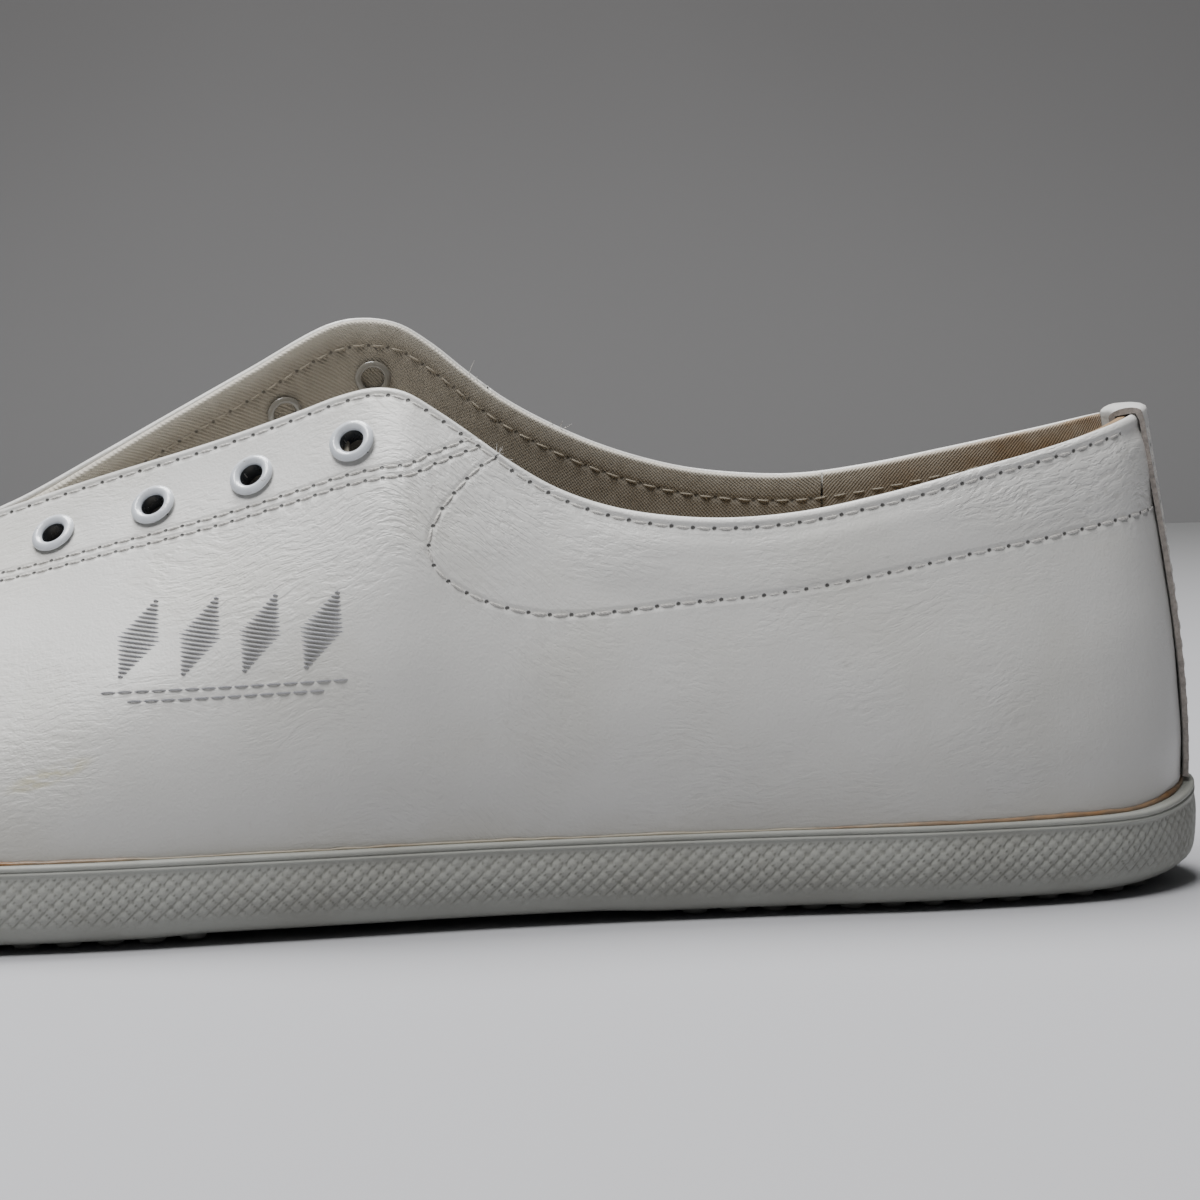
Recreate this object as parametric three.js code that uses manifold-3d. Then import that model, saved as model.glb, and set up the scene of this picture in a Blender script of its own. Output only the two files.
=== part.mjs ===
// A low bowling shoe for the left foot: a rubber cup sole, a leather upper on a textile lining,
// unlaced, with a hinged tongue lying low under the open facings.
// Millimetres, +Z up. The toe points along -X, the inner (medial) side is +Y, the outer (lateral)
// side is -Y, and the origin lies on the ground under the middle of the bounding box.
//
// The upper is one smooth surface, made of sections that climb from the sole to the top edge.
// q runs along each side, from 0 at the toe to 1 at the heel, and v runs up each section, from 0 at
// the sole to 1 at the top edge. Every leather, lining and stiffener is a trimmed patch of this
// surface between two depths, where depth 0 is the outside of the leather and grows inwards.

import * as THREE from "three";
import { mergeVertices } from "three/addons/utils/BufferGeometryUtils.js";
import Module from "manifold-3d";

const wasm = await Module();
wasm.setup();

// ---------------------------------------------------------------- overall sizes
const SOLE_LENGTH = 297; // heel to toe over the rubber
const SOLE_WIDTH = 103; // across the ball of the foot
const UPPER_HEIGHT = 77.7; // ground to the top edge at the heel
const TOE_SPRING = 8; // how far the toe tip lifts off the ground
const SPRING_START = 215; // where the lift begins, from the heel

// ---------------------------------------------------------------- materials and fits
const GAP = 0.3; // clearance between pieces that touch
const LEATHER = 1.1;
const STIFFENER = 0.8; // counter, toe puff and reinforcements
const LINING = 0.7;
const FOLD_DEPTH = 3.0; // leather turned in along the top edge
const FOLD_ROUND = 0.8; // rounding of the turned edge
const SEAM_GAP = 0.4; // between two edges sewn side by side
const MIDLINE_GAP = 0.25; // from the middle of the heel to each quarter
const THROAT_TRIM = 2.1; // from the ridge to each quarter's edge, in front of the throat

// ---------------------------------------------------------------- sole
const NUB_HEIGHT = 1.3;
const NUB_RADIUS = 2.3;
const NUB_TIP_RADIUS = 1.9;
const NUB_SINK = 0.4; // root of each nub inside the sole
const NUB_PITCH = 6.2;
const NUB_INSET = 8.4; // from the rubber's outer edge to the nubs' centres
const HEEL_NUBS = [12, 84]; // stretches with nubs, from the heel
const BALL_NUBS = [160, 290];
const FLOOR_THICKNESS = 4.5;
const ARCH_LIFT = 0.4; // underside of the waist over the underside of the heel
const ARCH_START = 88;
const ARCH_END = 156;
const ARCH_RAMP = 12;
const WALL_TOP = 13.6; // top of the side wall over the ground
const WALL_TOP_HEEL = 16.4;
const WALL_TOP_TOE = 17.5;
const WALL_LIP = 0.9; // from the wall's widest line in to its top edge
const HEEL_ROUND = 2.3; // how much more the wall tucks under at the heel

// ---------------------------------------------------------------- boards
const BOARD_THICKNESS = 1.8;
const FOOTBED_THICKNESS = 2.5;

// ---------------------------------------------------------------- upper
const FEATHER_INSET = 3.6; // leather's foot, in from the rubber's edge
const THROAT = 211; // front end of the opening, from the heel
const POLE = 262; // front end of the ridge line
const HEEL_TOP = 8; // top of the heel, forward of the rubber's heel
const VAMP_SEAM = 213; // from the heel
const LINING_SEAM_AHEAD = 4; // the lining is joined ahead of the leather's seam
const HEEL_LINING_FRONT = 58;
const COUNTER_FRONT = 70;
const PUFF_REAR = 250; // rear edge of the toe puff
const COLLAR_FRONT = 117;
const FACING_WIDTH = 16.5; // from the facing's edge to its double seam
const FACING_REAR = 122;
const FACING_FRONT = 208;
const STRIP_HALF_WIDTH = 7; // heel strip
const STRIP_THICKNESS = 1.2;
const STRIP_TURN_IN = 9; // length of the strip turned in over the top edge

// ---------------------------------------------------------------- eyelets
const EYELET_PAIRS = 5;
const EYELET_FIRST = 136.4; // rearmost pair, from the heel
const EYELET_STEP = 16.1;
const EYELET_EDGE = 10; // centre to the facing's edge, along the leather
const EYELET_BORE = 1.95;
const EYELET_WALL = 0.3;
const EYELET_RADIUS = 3.7;
const EYELET_HEIGHT = 0.9;
const EYELET_CURL = 3.1; // radius of the curled inner end
const EYELET_SEAT = 0.35; // under the flange, which is flat on curved leather
const EYELET_FIT = 0.3; // around the barrel

// ---------------------------------------------------------------- tongue
const TONGUE_HINGE = 217;
const TONGUE_ROOT = 223;
const TONGUE_TIP = 124;
const TONGUE_MIDDLE = 2;
const TONGUE_LINING = 0.6;

// ---------------------------------------------------------------- shapes as tables of stations
// Widest line of the rubber, as [distance from the heel, distance to the side], on the plain
// sizes of 297 by 103. It runs from the toe along the outer side, round the heel and back.
const OUTLINE = [
  [297, 6], [290.5, -12], [273, -29], [246, -42], [214, -48.8], [182, -49.5], [148, -44.5],
  [112, -38], [76, -34.5], [42, -33], [16, -26.5], [3.6, -14], [0, 0],
  [3.6, 14], [16, 26.5], [42, 32.5], [76, 32], [112, 32.5], [148, 38.5], [182, 47.5],
  [214, 53.5], [246, 51.2], [273, 40.5], [290.5, 23],
];
const OUTLINE_LENGTH = 297;
const OUTLINE_WIDTH = 103;
const OUTLINE_HEIGHT = 77.7;

// Top edge as [distance from the heel, distance to the side, height].
const RIM_THROAT = [THROAT, 2, 61.8];
const RIM_LATERAL = [
  [204, -1.6, 63.4], [195.5, -4.6, 65.7], [186.5, -7.2, 68.4], [177.5, -9.4, 71.0],
  [158, -13.6, 76.3], [145, -16.6, 80.4], [137.5, -18.3, 82.9], [132.0, -19.4, 83.9],
  [127.5, -20.4, 83.2], [122, -21.6, 79.9], [116, -23, 75.6], [110.6, -24.2, 71.6],
  [104, -25.4, 67.6], [97.5, -26.4, 65.0], [90, -27, 63.2], [78.5, -27.2, 62.1],
  [66, -26.6, 62.7], [52, -25, 65.2], [38, -22.2, 68.5], [24, -17.8, 71.9], [13, -11.6, 75.2],
];
const RIM_HEEL = [HEEL_TOP, 0, 77.0];
const RIM_MEDIAL = [
  [12, 11.4, 76.6], [23, 17.6, 74.2], [38, 22, 71.2], [51, 24.8, 68.8], [63, 26.4, 67.5],
  [76, 27.2, 68.2], [86, 27.2, 70.0], [99, 26.8, 74.4], [112, 26.2, 81.2], [119, 25.8, 86.4],
  [125.5, 25.2, 91.8], [131, 24.6, 95.2], [137, 23.8, 96.3], [143, 22.8, 95.4],
  [157, 20, 88.0], [170, 16.6, 80.9], [182.5, 13, 74.0], [195.5, 9, 67.0], [204, 5.8, 63.8],
];
const RIDGE = [[THROAT, 2, 61.8], [228, 3, 57.6], [245, 4, 52.4], [POLE, 5, 45.8]];

// Shape of the sections, as [distance from the heel, value]: the slope of the leather at the top
// edge in degrees, how far the slope is carried down, the swell at the foot, and its height.
const SLOPE_LATERAL = [
  [0, 83], [40, 80], [80, 75], [105, 67], [120, 58], [134, 51], [180, 51], [195, 46], [204, 38],
  [THROAT, 30], [222, 15], [236, 0],
];
const SLOPE_MEDIAL = [
  [0, 83], [40, 80], [80, 79], [110, 78], [150, 74], [172, 66], [185, 56], [195, 47], [204, 38],
  [THROAT, 30], [222, 15], [236, 0],
];
const REACH = [
  [0, 22], [40, 18], [80, 18], [110, 21], [135, 24], [160, 24], [195, 21], [THROAT, 18],
  [228, 21], [250, 22], [272, 18], [297, 19],
];
const SWELL = [[0, 3.4], [16, 4.4], [45, 7.6], [110, 8.2], [200, 7], [250, 6.4], [297, 3.4]];
const SWELL_HEIGHT = [[0, 0.3], [80, 0.32], [160, 0.4], [230, 0.42], [275, 0.48], [297, 0.52]];

// Line of the collar reinforcement's lower edge, sewn through the leather, as heights.
const COLLAR_LINE = [
  [0, 61.6], [25, 57.6], [40, 55], [55, 52.2], [70, 50], [85, 48.9], [98, 48.0], [108, 49.0],
  [114, 51.6], [COLLAR_FRONT, 56.4],
];
// Tongue as [distance from the heel, height of its middle, half width].
const TONGUE_HEIGHT = [
  [TONGUE_TIP, 71.2], [140, 68.4], [160, 64.4], [180, 60.0], [200, 56.2], [212, 54.2],
  [TONGUE_ROOT, 52.8],
];
const TONGUE_WIDTH = [
  [TONGUE_TIP, 14], [126, 19.5], [130, 23], [137, 25], [160, 24], [180, 20.5], [200, 15],
  [TONGUE_ROOT, 11],
];
const TONGUE_ARCH = 0.72; // side slope of the arched tongue
const TONGUE_CROWN = 8; // roundness of its middle

// ---------------------------------------------------------------- small maths
const lerp = (a, b, k) => a + (b - a) * k;
const clamp = (x, low, high) => Math.min(high, Math.max(low, x));
const ease = (x) => {
  const k = clamp(x, 0, 1);
  return k * k * (3 - 2 * k);
};
const stretchX = SOLE_LENGTH / OUTLINE_LENGTH;
const stretchY = SOLE_WIDTH / OUTLINE_WIDTH;

// Smooth curve through a table, without overshoot.
function through(table) {
  const xs = table.map((row) => row[0] * stretchX);
  const ys = table.map((row) => row[1]);
  const last = xs.length - 1;
  const rise = xs.slice(1).map((x, i) => (ys[i + 1] - ys[i]) / (x - xs[i]));
  const slope = ys.map((_, i) => {
    if (i === 0) return rise[0];
    if (i === last) return rise[last - 1];
    return rise[i - 1] * rise[i] <= 0 ? 0 : (2 * rise[i - 1] * rise[i]) / (rise[i - 1] + rise[i]);
  });
  return (x) => {
    if (x <= xs[0]) return ys[0];
    if (x >= xs[last]) return ys[last];
    let i = 0;
    while (x > xs[i + 1]) i += 1;
    const w = xs[i + 1] - xs[i];
    const k = (x - xs[i]) / w;
    const a = ys[i] * (1 + 2 * k) * (1 - k) ** 2 + slope[i] * w * k * (1 - k) ** 2;
    return a + ys[i + 1] * k * k * (3 - 2 * k) + slope[i + 1] * w * k * k * (k - 1);
  };
}

// Points are [distance from the heel, distance to the side, height] until they become vertices.
const add = (a, b, k = 1) => [a[0] + b[0] * k, a[1] + b[1] * k, a[2] + b[2] * k];
const cross = (a, b) => [
  a[1] * b[2] - a[2] * b[1],
  a[2] * b[0] - a[0] * b[2],
  a[0] * b[1] - a[1] * b[0],
];
const dot = (a, b) => a[0] * b[0] + a[1] * b[1] + a[2] * b[2];
const unit = (a) => {
  const size = Math.hypot(...a) || 1;
  return a.map((c) => c / size);
};

// Dense points of a smooth curve.
function dense(points, closed, count) {
  const vectors = points.map((p) => new THREE.Vector3(...p));
  const curve = new THREE.CatmullRomCurve3(vectors, closed, "centripetal");
  return curve.getPoints(count).map((p) => [p.x, p.y, p.z]);
}

// Looks up the point at one distance from the heel on a line that runs steadily along it.
function byLength(line) {
  const sorted = line[0][0] > line[line.length - 1][0] ? [...line].reverse() : line;
  return (s) => {
    let low = 0;
    let high = sorted.length - 1;
    while (high - low > 1) {
      const mid = (low + high) >> 1;
      if (sorted[mid][0] > s) high = mid;
      else low = mid;
    }
    const span = sorted[high][0] - sorted[low][0];
    const k = span > 0 ? clamp((s - sorted[low][0]) / span, 0, 1) : 0;
    return sorted[low].map((c, i) => lerp(c, sorted[high][i], k));
  };
}

// Splits a closed or open loop that goes toe - outer side - heel - inner side - toe.
function sides(loop) {
  const index = (best) => loop.reduce((m, p, i) => (best(p[0], loop[m][0]) ? i : m), 0);
  const heel = index((a, b) => a < b);
  const toe = index((a, b) => a > b);
  const rolled = [...loop.slice(toe), ...loop.slice(0, toe), loop[toe]];
  const turn = rolled.indexOf(loop[heel]);
  return {
    first: loop[heel][0],
    last: loop[toe][0],
    lateral: byLength(rolled.slice(0, turn + 1)),
    medial: byLength(rolled.slice(turn)),
  };
}

// ---------------------------------------------------------------- outlines
const outline = dense(OUTLINE.map(([s, y]) => [s * stretchX, y * stretchY, 0]), true, 960);
outline.pop();
const outlineNormal = outline.map((p, i) => {
  const before = outline[(i + outline.length - 1) % outline.length];
  const after = outline[(i + 1) % outline.length];
  return unit([before[1] - after[1], after[0] - before[0], 0]);
});
const outwards = outlineNormal[0][0] > 0 ? 1 : -1;
const insetCache = new Map();

// The rubber's outline moved in by some distance, with its outward direction beside each point.
function inset(distance) {
  const key = distance.toFixed(4);
  if (!insetCache.has(key)) {
    const loop = outline.map((p, i) => {
      const n = outlineNormal[i];
      return [
        p[0] - n[0] * outwards * distance,
        p[1] - n[1] * outwards * distance,
        0,
        n[0] * outwards,
        n[1] * outwards,
      ];
    });
    insetCache.set(key, sides(loop));
  }
  return insetCache.get(key);
}

// Distance from the heel at q, spaced evenly around round ends, and its inverse.
const station = (ring, q) => lerp(ring.first, ring.last, (1 + Math.cos(Math.PI * q)) / 2);
const feather = inset(FEATHER_INSET);
function qAt(s) {
  const k = (s * stretchX - feather.first) / (feather.last - feather.first);
  return Math.acos(clamp(2 * k - 1, -1, 1)) / Math.PI;
}
function onInset(distance, side, q) {
  const ring = inset(distance);
  return ring[side](station(ring, q));
}
const spring = (s) => {
  const start = SPRING_START * stretchX;
  return s < start ? 0 : TOE_SPRING * ((s - start) / (SOLE_LENGTH - start)) ** 2;
};

// ---------------------------------------------------------------- surface of the upper
const FEATHER_Z = NUB_HEIGHT + FLOOR_THICKNESS + GAP;
const tall = UPPER_HEIGHT / OUTLINE_HEIGHT;
const sized = ([s, y, z]) => [s * stretchX, y * stretchY, z * tall];
const rim = sides(
  dense([RIM_THROAT, ...RIM_LATERAL, RIM_HEEL, ...RIM_MEDIAL, RIM_THROAT].map(sized), false, 1500),
);
const ridgeLine = byLength(dense(RIDGE.map(sized), false, 300));
const slopes = { lateral: through(SLOPE_LATERAL), medial: through(SLOPE_MEDIAL) };
const reach = through(REACH);
const swell = through(SWELL);
const swellHeight = through(SWELL_HEIGHT);
const throat = THROAT * stretchX;
const pole = POLE * stretchX;

// Distance from the heel of a section's top, for a foot at distance s from the heel.
function topStation(s) {
  if (s >= throat) {
    const k = (s - throat) / (feather.last - throat);
    const full = feather.last - throat;
    return throat + full * (k - (1 - (pole - throat) / full) * k * k);
  }
  const k = clamp((s - feather.first) / 60, 0, 1);
  return s + (rim.first - feather.first) * (1 - k) ** 2;
}
function ridgeTangent(s) {
  return unit(add(ridgeLine(Math.min(s + 1, pole)), ridgeLine(Math.min(s + 1, pole) - 2), -1));
}

const sectionCache = new Map();
function section(side, q) {
  const key = `${side}${q.toFixed(7)}`;
  if (sectionCache.has(key)) return sectionCache.get(key);
  const [s, y, , ns, ny] = onInset(FEATHER_INSET, side, q);
  const foot = [s, y, FEATHER_Z + spring(s)];
  const top = topStation(s);
  const onRidge = top >= throat;
  const high = onRidge ? ridgeLine(top) : rim[side](top);
  const along = ridgeTangent(Math.max(top, throat));
  const k = ease((top / stretchX - 195) / (THROAT - 195));
  const forward = unit([lerp(1, along[0], k), lerp(0, along[1], k), lerp(0, along[2], k)]);
  const flat = unit([ns * forward[0], ny + ns * forward[1], ns * forward[2]]);
  const slope = (slopes[side](top) * Math.PI) / 180;
  const away = add(flat.map((c) => c * Math.cos(slope)), [0, 0, -Math.sin(slope)]);
  const rise = high[2] - foot[2];
  const lower = add([ns * swell(s), ny * swell(s), swellHeight(s) * rise], foot);
  const upper = add(high, away, reach(s));
  const made = { points: [foot, lower, upper, high], onRidge, along };
  sectionCache.set(key, made);
  return made;
}
function surface(side, q, v) {
  const [a, b, c, d] = section(side, q).points;
  const w = 1 - v;
  return a.map((_, i) => {
    const low = a[i] * w * w * w + 3 * b[i] * w * w * v;
    return low + 3 * c[i] * w * v * v + d[i] * v * v * v;
  });
}
function normal(side, q, v) {
  const made = section(side, q);
  if (made.onRidge && v > 0.999) {
    const up = unit(cross(made.along, [0, 1, 0]));
    return up[2] < 0 ? up.map((c) => -c) : up;
  }
  const step = 0.002;
  const q0 = Math.max(0, q - step);
  const q1 = Math.min(1, q + step);
  const v0 = Math.max(0, v - step);
  const v1 = Math.min(1, v + step);
  const alongQ = add(surface(side, q1, v), surface(side, q0, v), -1);
  const alongV = add(surface(side, q, v1), surface(side, q, v0), -1);
  const n = unit(cross(alongQ, alongV));
  const point = surface(side, q, v);
  const middle = [clamp(point[0], 40, 240), 1, 22];
  return dot(n, add(point, middle, -1)) < 0 ? n.map((c) => -c) : n;
}
const atDepth = (side, q, v, depth) => add(surface(side, q, v), normal(side, q, v), -depth);

// v at some distance down the section from the top edge, and v at some height.
function vDown(side, q, distance) {
  const steps = 400;
  let gone = 0;
  let last = surface(side, q, 1);
  for (let i = 1; i <= steps; i += 1) {
    const next = surface(side, q, 1 - i / steps);
    const piece = Math.hypot(...add(next, last, -1));
    if (gone + piece >= distance) return 1 - (i - 1 + (distance - gone) / piece) / steps;
    gone += piece;
    last = next;
  }
  return 0;
}
function vHeight(side, q, z) {
  let low = 0;
  let high = 1;
  for (let i = 0; i < 30; i += 1) {
    const mid = (low + high) / 2;
    if (surface(side, q, mid)[2] < z) low = mid;
    else high = mid;
  }
  return (low + high) / 2;
}
// q where a section's point at height v lies some distance to the side of the heel's middle.
function qBeside(side, v, distance, depth = 0) {
  let low = 0.8;
  let high = 1;
  for (let i = 0; i < 24; i += 1) {
    const mid = (low + high) / 2;
    if (Math.abs(atDepth(side, mid, v, depth)[1]) > distance) low = mid;
    else high = mid;
  }
  return (low + high) / 2;
}

// ---------------------------------------------------------------- meshes
// All layers share one lattice of columns and rows, so that their facets lie parallel.
const COLUMN_STEP = 1 / 34;
const FINE = [[110, 146], [186, 222]]; // columns at half the step, at the corner and the throat
const LOW_ROWS = 4; // rows from the foot to the seam line
const SEAM_ROW = LOW_ROWS;
const FOLD_ROW = LOW_ROWS + 2;
const EDGE_ROW = LOW_ROWS + 5;
const marks = [THROAT, VAMP_SEAM, VAMP_SEAM + LINING_SEAM_AHEAD].map(qAt); // always columns
const lattice = [...marks];
for (let k = 0; k <= Math.round(2 / COLUMN_STEP); k += 1) {
  const q = (k * COLUMN_STEP) / 2;
  const s = station(feather, q) / stretchX;
  const fine = FINE.some(([from, to]) => s > from && s < to);
  const clear = marks.every((mark) => Math.abs(mark - q) > COLUMN_STEP * 0.22);
  if (clear && (fine || k % 2 === 0)) lattice.push(q);
}
lattice.sort((a, b) => a - b);
// Lattice columns between two places, with both ends.
function columnsBetween(from, to) {
  const room = COLUMN_STEP * 0.3;
  const inside = lattice.filter((q) => q > from + room && q < to - room);
  return [from, ...inside, to];
}

// Builds a closed body from faces given as lists of corners, turned to face outwards.
function body(faces) {
  const position = [];
  for (const corners of faces)
    for (let i = 1; i + 1 < corners.length; i += 1)
      for (const p of [corners[0], corners[i], corners[i + 1]]) position.push(-p[0], p[1], p[2]);
  let raw = new THREE.BufferGeometry();
  raw.setAttribute("position", new THREE.Float32BufferAttribute(position, 3));
  raw = mergeVertices(raw, 2e-3);
  const at = raw.attributes.position.array;
  const kept = [];
  let volume = 0;
  for (let i = 0; i < raw.index.count; i += 3) {
    const [a, b, c] = [0, 1, 2].map((k) => raw.index.array[i + k]);
    if (a === b || b === c || c === a) continue;
    kept.push(a, b, c);
    const [p, r, t] = [a, b, c].map((k) => [at[3 * k], at[3 * k + 1], at[3 * k + 2]]);
    volume += dot(p, cross(r, t));
  }
  if (volume < 0) kept.reverse();
  raw.setIndex(kept);
  return raw;
}

// The point at some depth under q and a row, on the flat facets between the lattice's corners.
// heights(side, q) lists v for each whole row.
function onFacets(side, q, row, depth, heights) {
  let k = 0;
  while (k + 2 < lattice.length && lattice[k + 1] < q) k += 1;
  const across = clamp((q - lattice[k]) / (lattice[k + 1] - lattice[k]), 0, 1);
  const low = Math.floor(row);
  const point = (column, whole) => {
    const vs = heights(side, column);
    return atDepth(side, column, vs[Math.min(whole, vs.length - 1)], depth);
  };
  const line = (whole) => {
    const from = point(lattice[k], whole);
    return across > 0 ? from.map((c, i) => lerp(c, point(lattice[k + 1], whole)[i], across)) : from;
  };
  const base = line(low);
  return row > low ? base.map((c, i) => lerp(c, line(low + 1)[i], row - low)) : base;
}

// A patch between two depths. columns lists [side, q], and depths(row) gives both depths.
// Columns from turned on run the other way along the side, which turns their facets over.
// With joined set, the top row is folded on itself along the ridge and needs no wall.
function shell(columns, rows, depths, heights, turned, joined = false) {
  const layer = (k) =>
    columns.map(([side, q]) =>
      rows.map((row) => onFacets(side, q, row, depths(row)[k], heights)),
    );
  return sandwich(layer(0), layer(1), joined, turned);
}
function sandwich(outer, inner, joined = false, turned = () => false) {
  const columns = outer.length - 1;
  const rows = outer[0].length - 1;
  const faces = [];
  for (let i = 0; i < columns; i += 1)
    for (let j = 0; j < rows; j += 1) {
      const corners = [[i, j], [i + 1, j], [i + 1, j + 1], [i, j + 1]];
      if (turned(i)) corners.push(corners.shift());
      const [p, q, r, s] = corners;
      faces.push([p, q, r, s].map(([m, n]) => outer[m][n]));
      faces.push([p, s, r, q].map(([m, n]) => inner[m][n]));
    }
  for (let i = 0; i < columns; i += 1) {
    faces.push([outer[i][0], inner[i][0], inner[i + 1][0], outer[i + 1][0]]);
    if (!joined)
      faces.push([outer[i][rows], outer[i + 1][rows], inner[i + 1][rows], inner[i][rows]]);
  }
  for (let j = 0; j < rows; j += 1) {
    faces.push([outer[0][j], outer[0][j + 1], inner[0][j + 1], inner[0][j]]);
    const [o, n] = [outer[columns], inner[columns]];
    faces.push([o[j], n[j], n[j + 1], o[j + 1]]);
  }
  return body(faces);
}

function solid(geometry) {
  const bare = geometry.clone();
  bare.deleteAttribute("normal");
  bare.deleteAttribute("uv");
  const merged = mergeVertices(bare, 1e-4);
  return new wasm.Manifold(
    new wasm.Mesh({
      numProp: 3,
      vertProperties: new Float32Array(merged.attributes.position.array),
      triVerts: new Uint32Array(merged.index.array),
    }),
  );
}
function geometryOf(made) {
  const mesh = made.getMesh();
  const geometry = new THREE.BufferGeometry();
  geometry.setAttribute("position", new THREE.BufferAttribute(mesh.vertProperties, 3));
  geometry.setIndex(new THREE.BufferAttribute(mesh.triVerts, 1));
  return geometry;
}

const group = new THREE.Group();
function piece(name, geometry, color, roughness, metalness = 0) {
  const flat = geometry.index ? geometry.toNonIndexed() : geometry;
  flat.computeVertexNormals();
  const material = new THREE.MeshStandardMaterial({ color, roughness, metalness });
  const mesh = new THREE.Mesh(flat, material);
  mesh.name = name;
  group.add(mesh);
  return mesh;
}

const COLORS = {
  leather: 0xd4d3ce,
  rubber: 0xc9cac2,
  lining: 0xb9b0a0,
  heelLining: 0xa48a67,
  board: 0xb59d78,
  stiffener: 0xe2dccb,
  footbed: 0xc4b79f,
  enamel: 0xe4e8ee,
};

// ---------------------------------------------------------------- sole
const archRamp = (s) =>
  ease((s / stretchX - ARCH_START) / ARCH_RAMP) - ease((s / stretchX - ARCH_END) / ARCH_RAMP);
const underside = (s) => NUB_HEIGHT + ARCH_LIFT * archRamp(s) + spring(s);
const wallTop = (q, s) => {
  const heel = (WALL_TOP_HEEL - WALL_TOP) * ease((q - 0.86) / 0.14);
  const toe = (WALL_TOP_TOE - WALL_TOP) * ease((0.4 - q) / 0.4);
  return WALL_TOP + heel + toe + spring(s);
};

// A flat-sided plate across the shoe between two heights, in from the rubber's edge.
const ACROSS = 2;
const AROUND = Math.round(1 / COLUMN_STEP);
const PLATE_SKIP = 2; // boards use every second column
function plateRow(distance, q, height) {
  const [left, right] = ["lateral", "medial"].map((side) => onInset(distance, side, q));
  return Array.from({ length: ACROSS + 1 }, (_, j) => {
    const s = lerp(left[0], right[0], j / ACROSS);
    return [s, lerp(left[1], right[1], j / ACROSS), height(s)];
  });
}
function plate(distance, bottom, top) {
  const low = [];
  const high = [];
  for (let i = 0; i <= AROUND; i += PLATE_SKIP) {
    low.push(plateRow(distance, i / AROUND, bottom));
    high.push(plateRow(distance, i / AROUND, top));
  }
  return sandwich(low, high);
}

function cup() {
  const rings = []; // each: (side, q) => point
  const tuck = (q) => 1 + (HEEL_ROUND - 1) * ease((q - 0.8) / 0.2) + 0.4 * ease((0.2 - q) / 0.2);
  const outer = (distance, height) => (side, q) => {
    const [s, y, , ns, ny] = onInset(0, side, q);
    const back = distance * tuck(q);
    return [s - ns * back, y - ny * back, height(s, q)];
  };
  const flatInset = 5.6;
  rings.push((side, q) => {
    const [s, y] = onInset(flatInset * tuck(q), side, q);
    return [s, y, underside(s)];
  });
  rings.push(outer(3.1, (s) => underside(s) + 0.4));
  rings.push(outer(1.2, (s) => underside(s) + 1.7));
  rings.push(outer(0.25, (s) => underside(s) + 4));
  rings.push(outer(0, (s, q) => wallTop(q, s) - 5.2));
  rings.push((side, q) => {
    const [s, y, , ns, ny] = onInset(0, side, q);
    return [s - ns * 0.3, y - ny * 0.3, wallTop(q, s) - 1.6];
  });
  rings.push((side, q) => {
    const [s, y, , ns, ny] = onInset(0, side, q);
    return [s - ns * WALL_LIP, y - ny * WALL_LIP, wallTop(q, s)];
  });
  const inner = (height) => (side, q) => {
    const [s, , , ns, ny] = onInset(FEATHER_INSET, side, q);
    const z = height(s, q);
    const leather = surface(side, q, vHeight(side, q, z));
    const room = GAP + 0.1;
    return [leather[0] + ns * room, leather[1] + ny * room, z];
  };
  rings.push(inner((s, q) => wallTop(q, s)));
  rings.push(inner((s, q) => lerp(FEATHER_Z + spring(s), wallTop(q, s), 0.5)));
  rings.push(inner((s) => NUB_HEIGHT + FLOOR_THICKNESS + spring(s)));
  const columns = AROUND;
  const grid = rings.map((ring) => {
    const loop = [];
    for (let i = 0; i < columns; i += 1) loop.push(ring("lateral", i / columns));
    for (let i = columns; i > 0; i -= 1) loop.push(ring("medial", i / columns));
    return loop;
  });
  const faces = [];
  for (let r = 0; r + 1 < grid.length; r += 1)
    for (let i = 0; i < grid[r].length; i += 1) {
      const k = (i + 1) % grid[r].length;
      faces.push([grid[r][i], grid[r][k], grid[r + 1][k], grid[r + 1][i]]);
    }
  const cap = (loop, turned) => {
    const across = (i) => {
      const left = loop[i];
      const right = loop[(2 * columns - i) % (2 * columns)];
      return Array.from({ length: ACROSS + 1 }, (_, j) =>
        left.map((c, n) => lerp(c, right[n], j / ACROSS)),
      );
    };
    for (let i = 0; i < columns; i += 1) {
      const a = across(i);
      const b = across(i + 1);
      for (let j = 0; j < ACROSS; j += 1) {
        const face = [a[j], a[j + 1], b[j + 1], b[j]];
        faces.push(turned ? face.reverse() : face);
      }
    }
  };
  cap(grid[0], false);
  cap(grid[grid.length - 1], true);
  return body(faces);
}

// Round nubs in a row along the edge of the heel and of the ball of the foot.
function nubs() {
  const made = [];
  const shape = new THREE.CylinderGeometry(
    NUB_RADIUS, NUB_TIP_RADIUS, NUB_HEIGHT + NUB_SINK, 7, 1,
  );
  shape.rotateX(Math.PI / 2);
  for (const side of ["lateral", "medial"]) {
    let last = null;
    for (let i = 0; i <= 4000; i += 1) {
      const q = i / 4000;
      const [s, y] = onInset(NUB_INSET, side, q);
      const real = s / stretchX;
      const wanted = [HEEL_NUBS, BALL_NUBS].some(([from, to]) => real > from && real < to);
      const clear = last === null || Math.hypot(s - last[0], y - last[1]) >= NUB_PITCH;
      if (!wanted || !clear || Math.abs(y - 6 * (s > 200)) < NUB_PITCH / 2) continue;
      last = [s, y];
      const nub = shape.clone();
      nub.translate(-s, y, underside(s) + NUB_SINK - (NUB_HEIGHT + NUB_SINK) / 2);
      made.push(solid(nub));
    }
  }
  return made;
}
const treaded = nubs().reduce((sole, nub) => sole.add(nub), solid(cup()));
piece("cup_sole", geometryOf(treaded), COLORS.rubber, 0.6);

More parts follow.
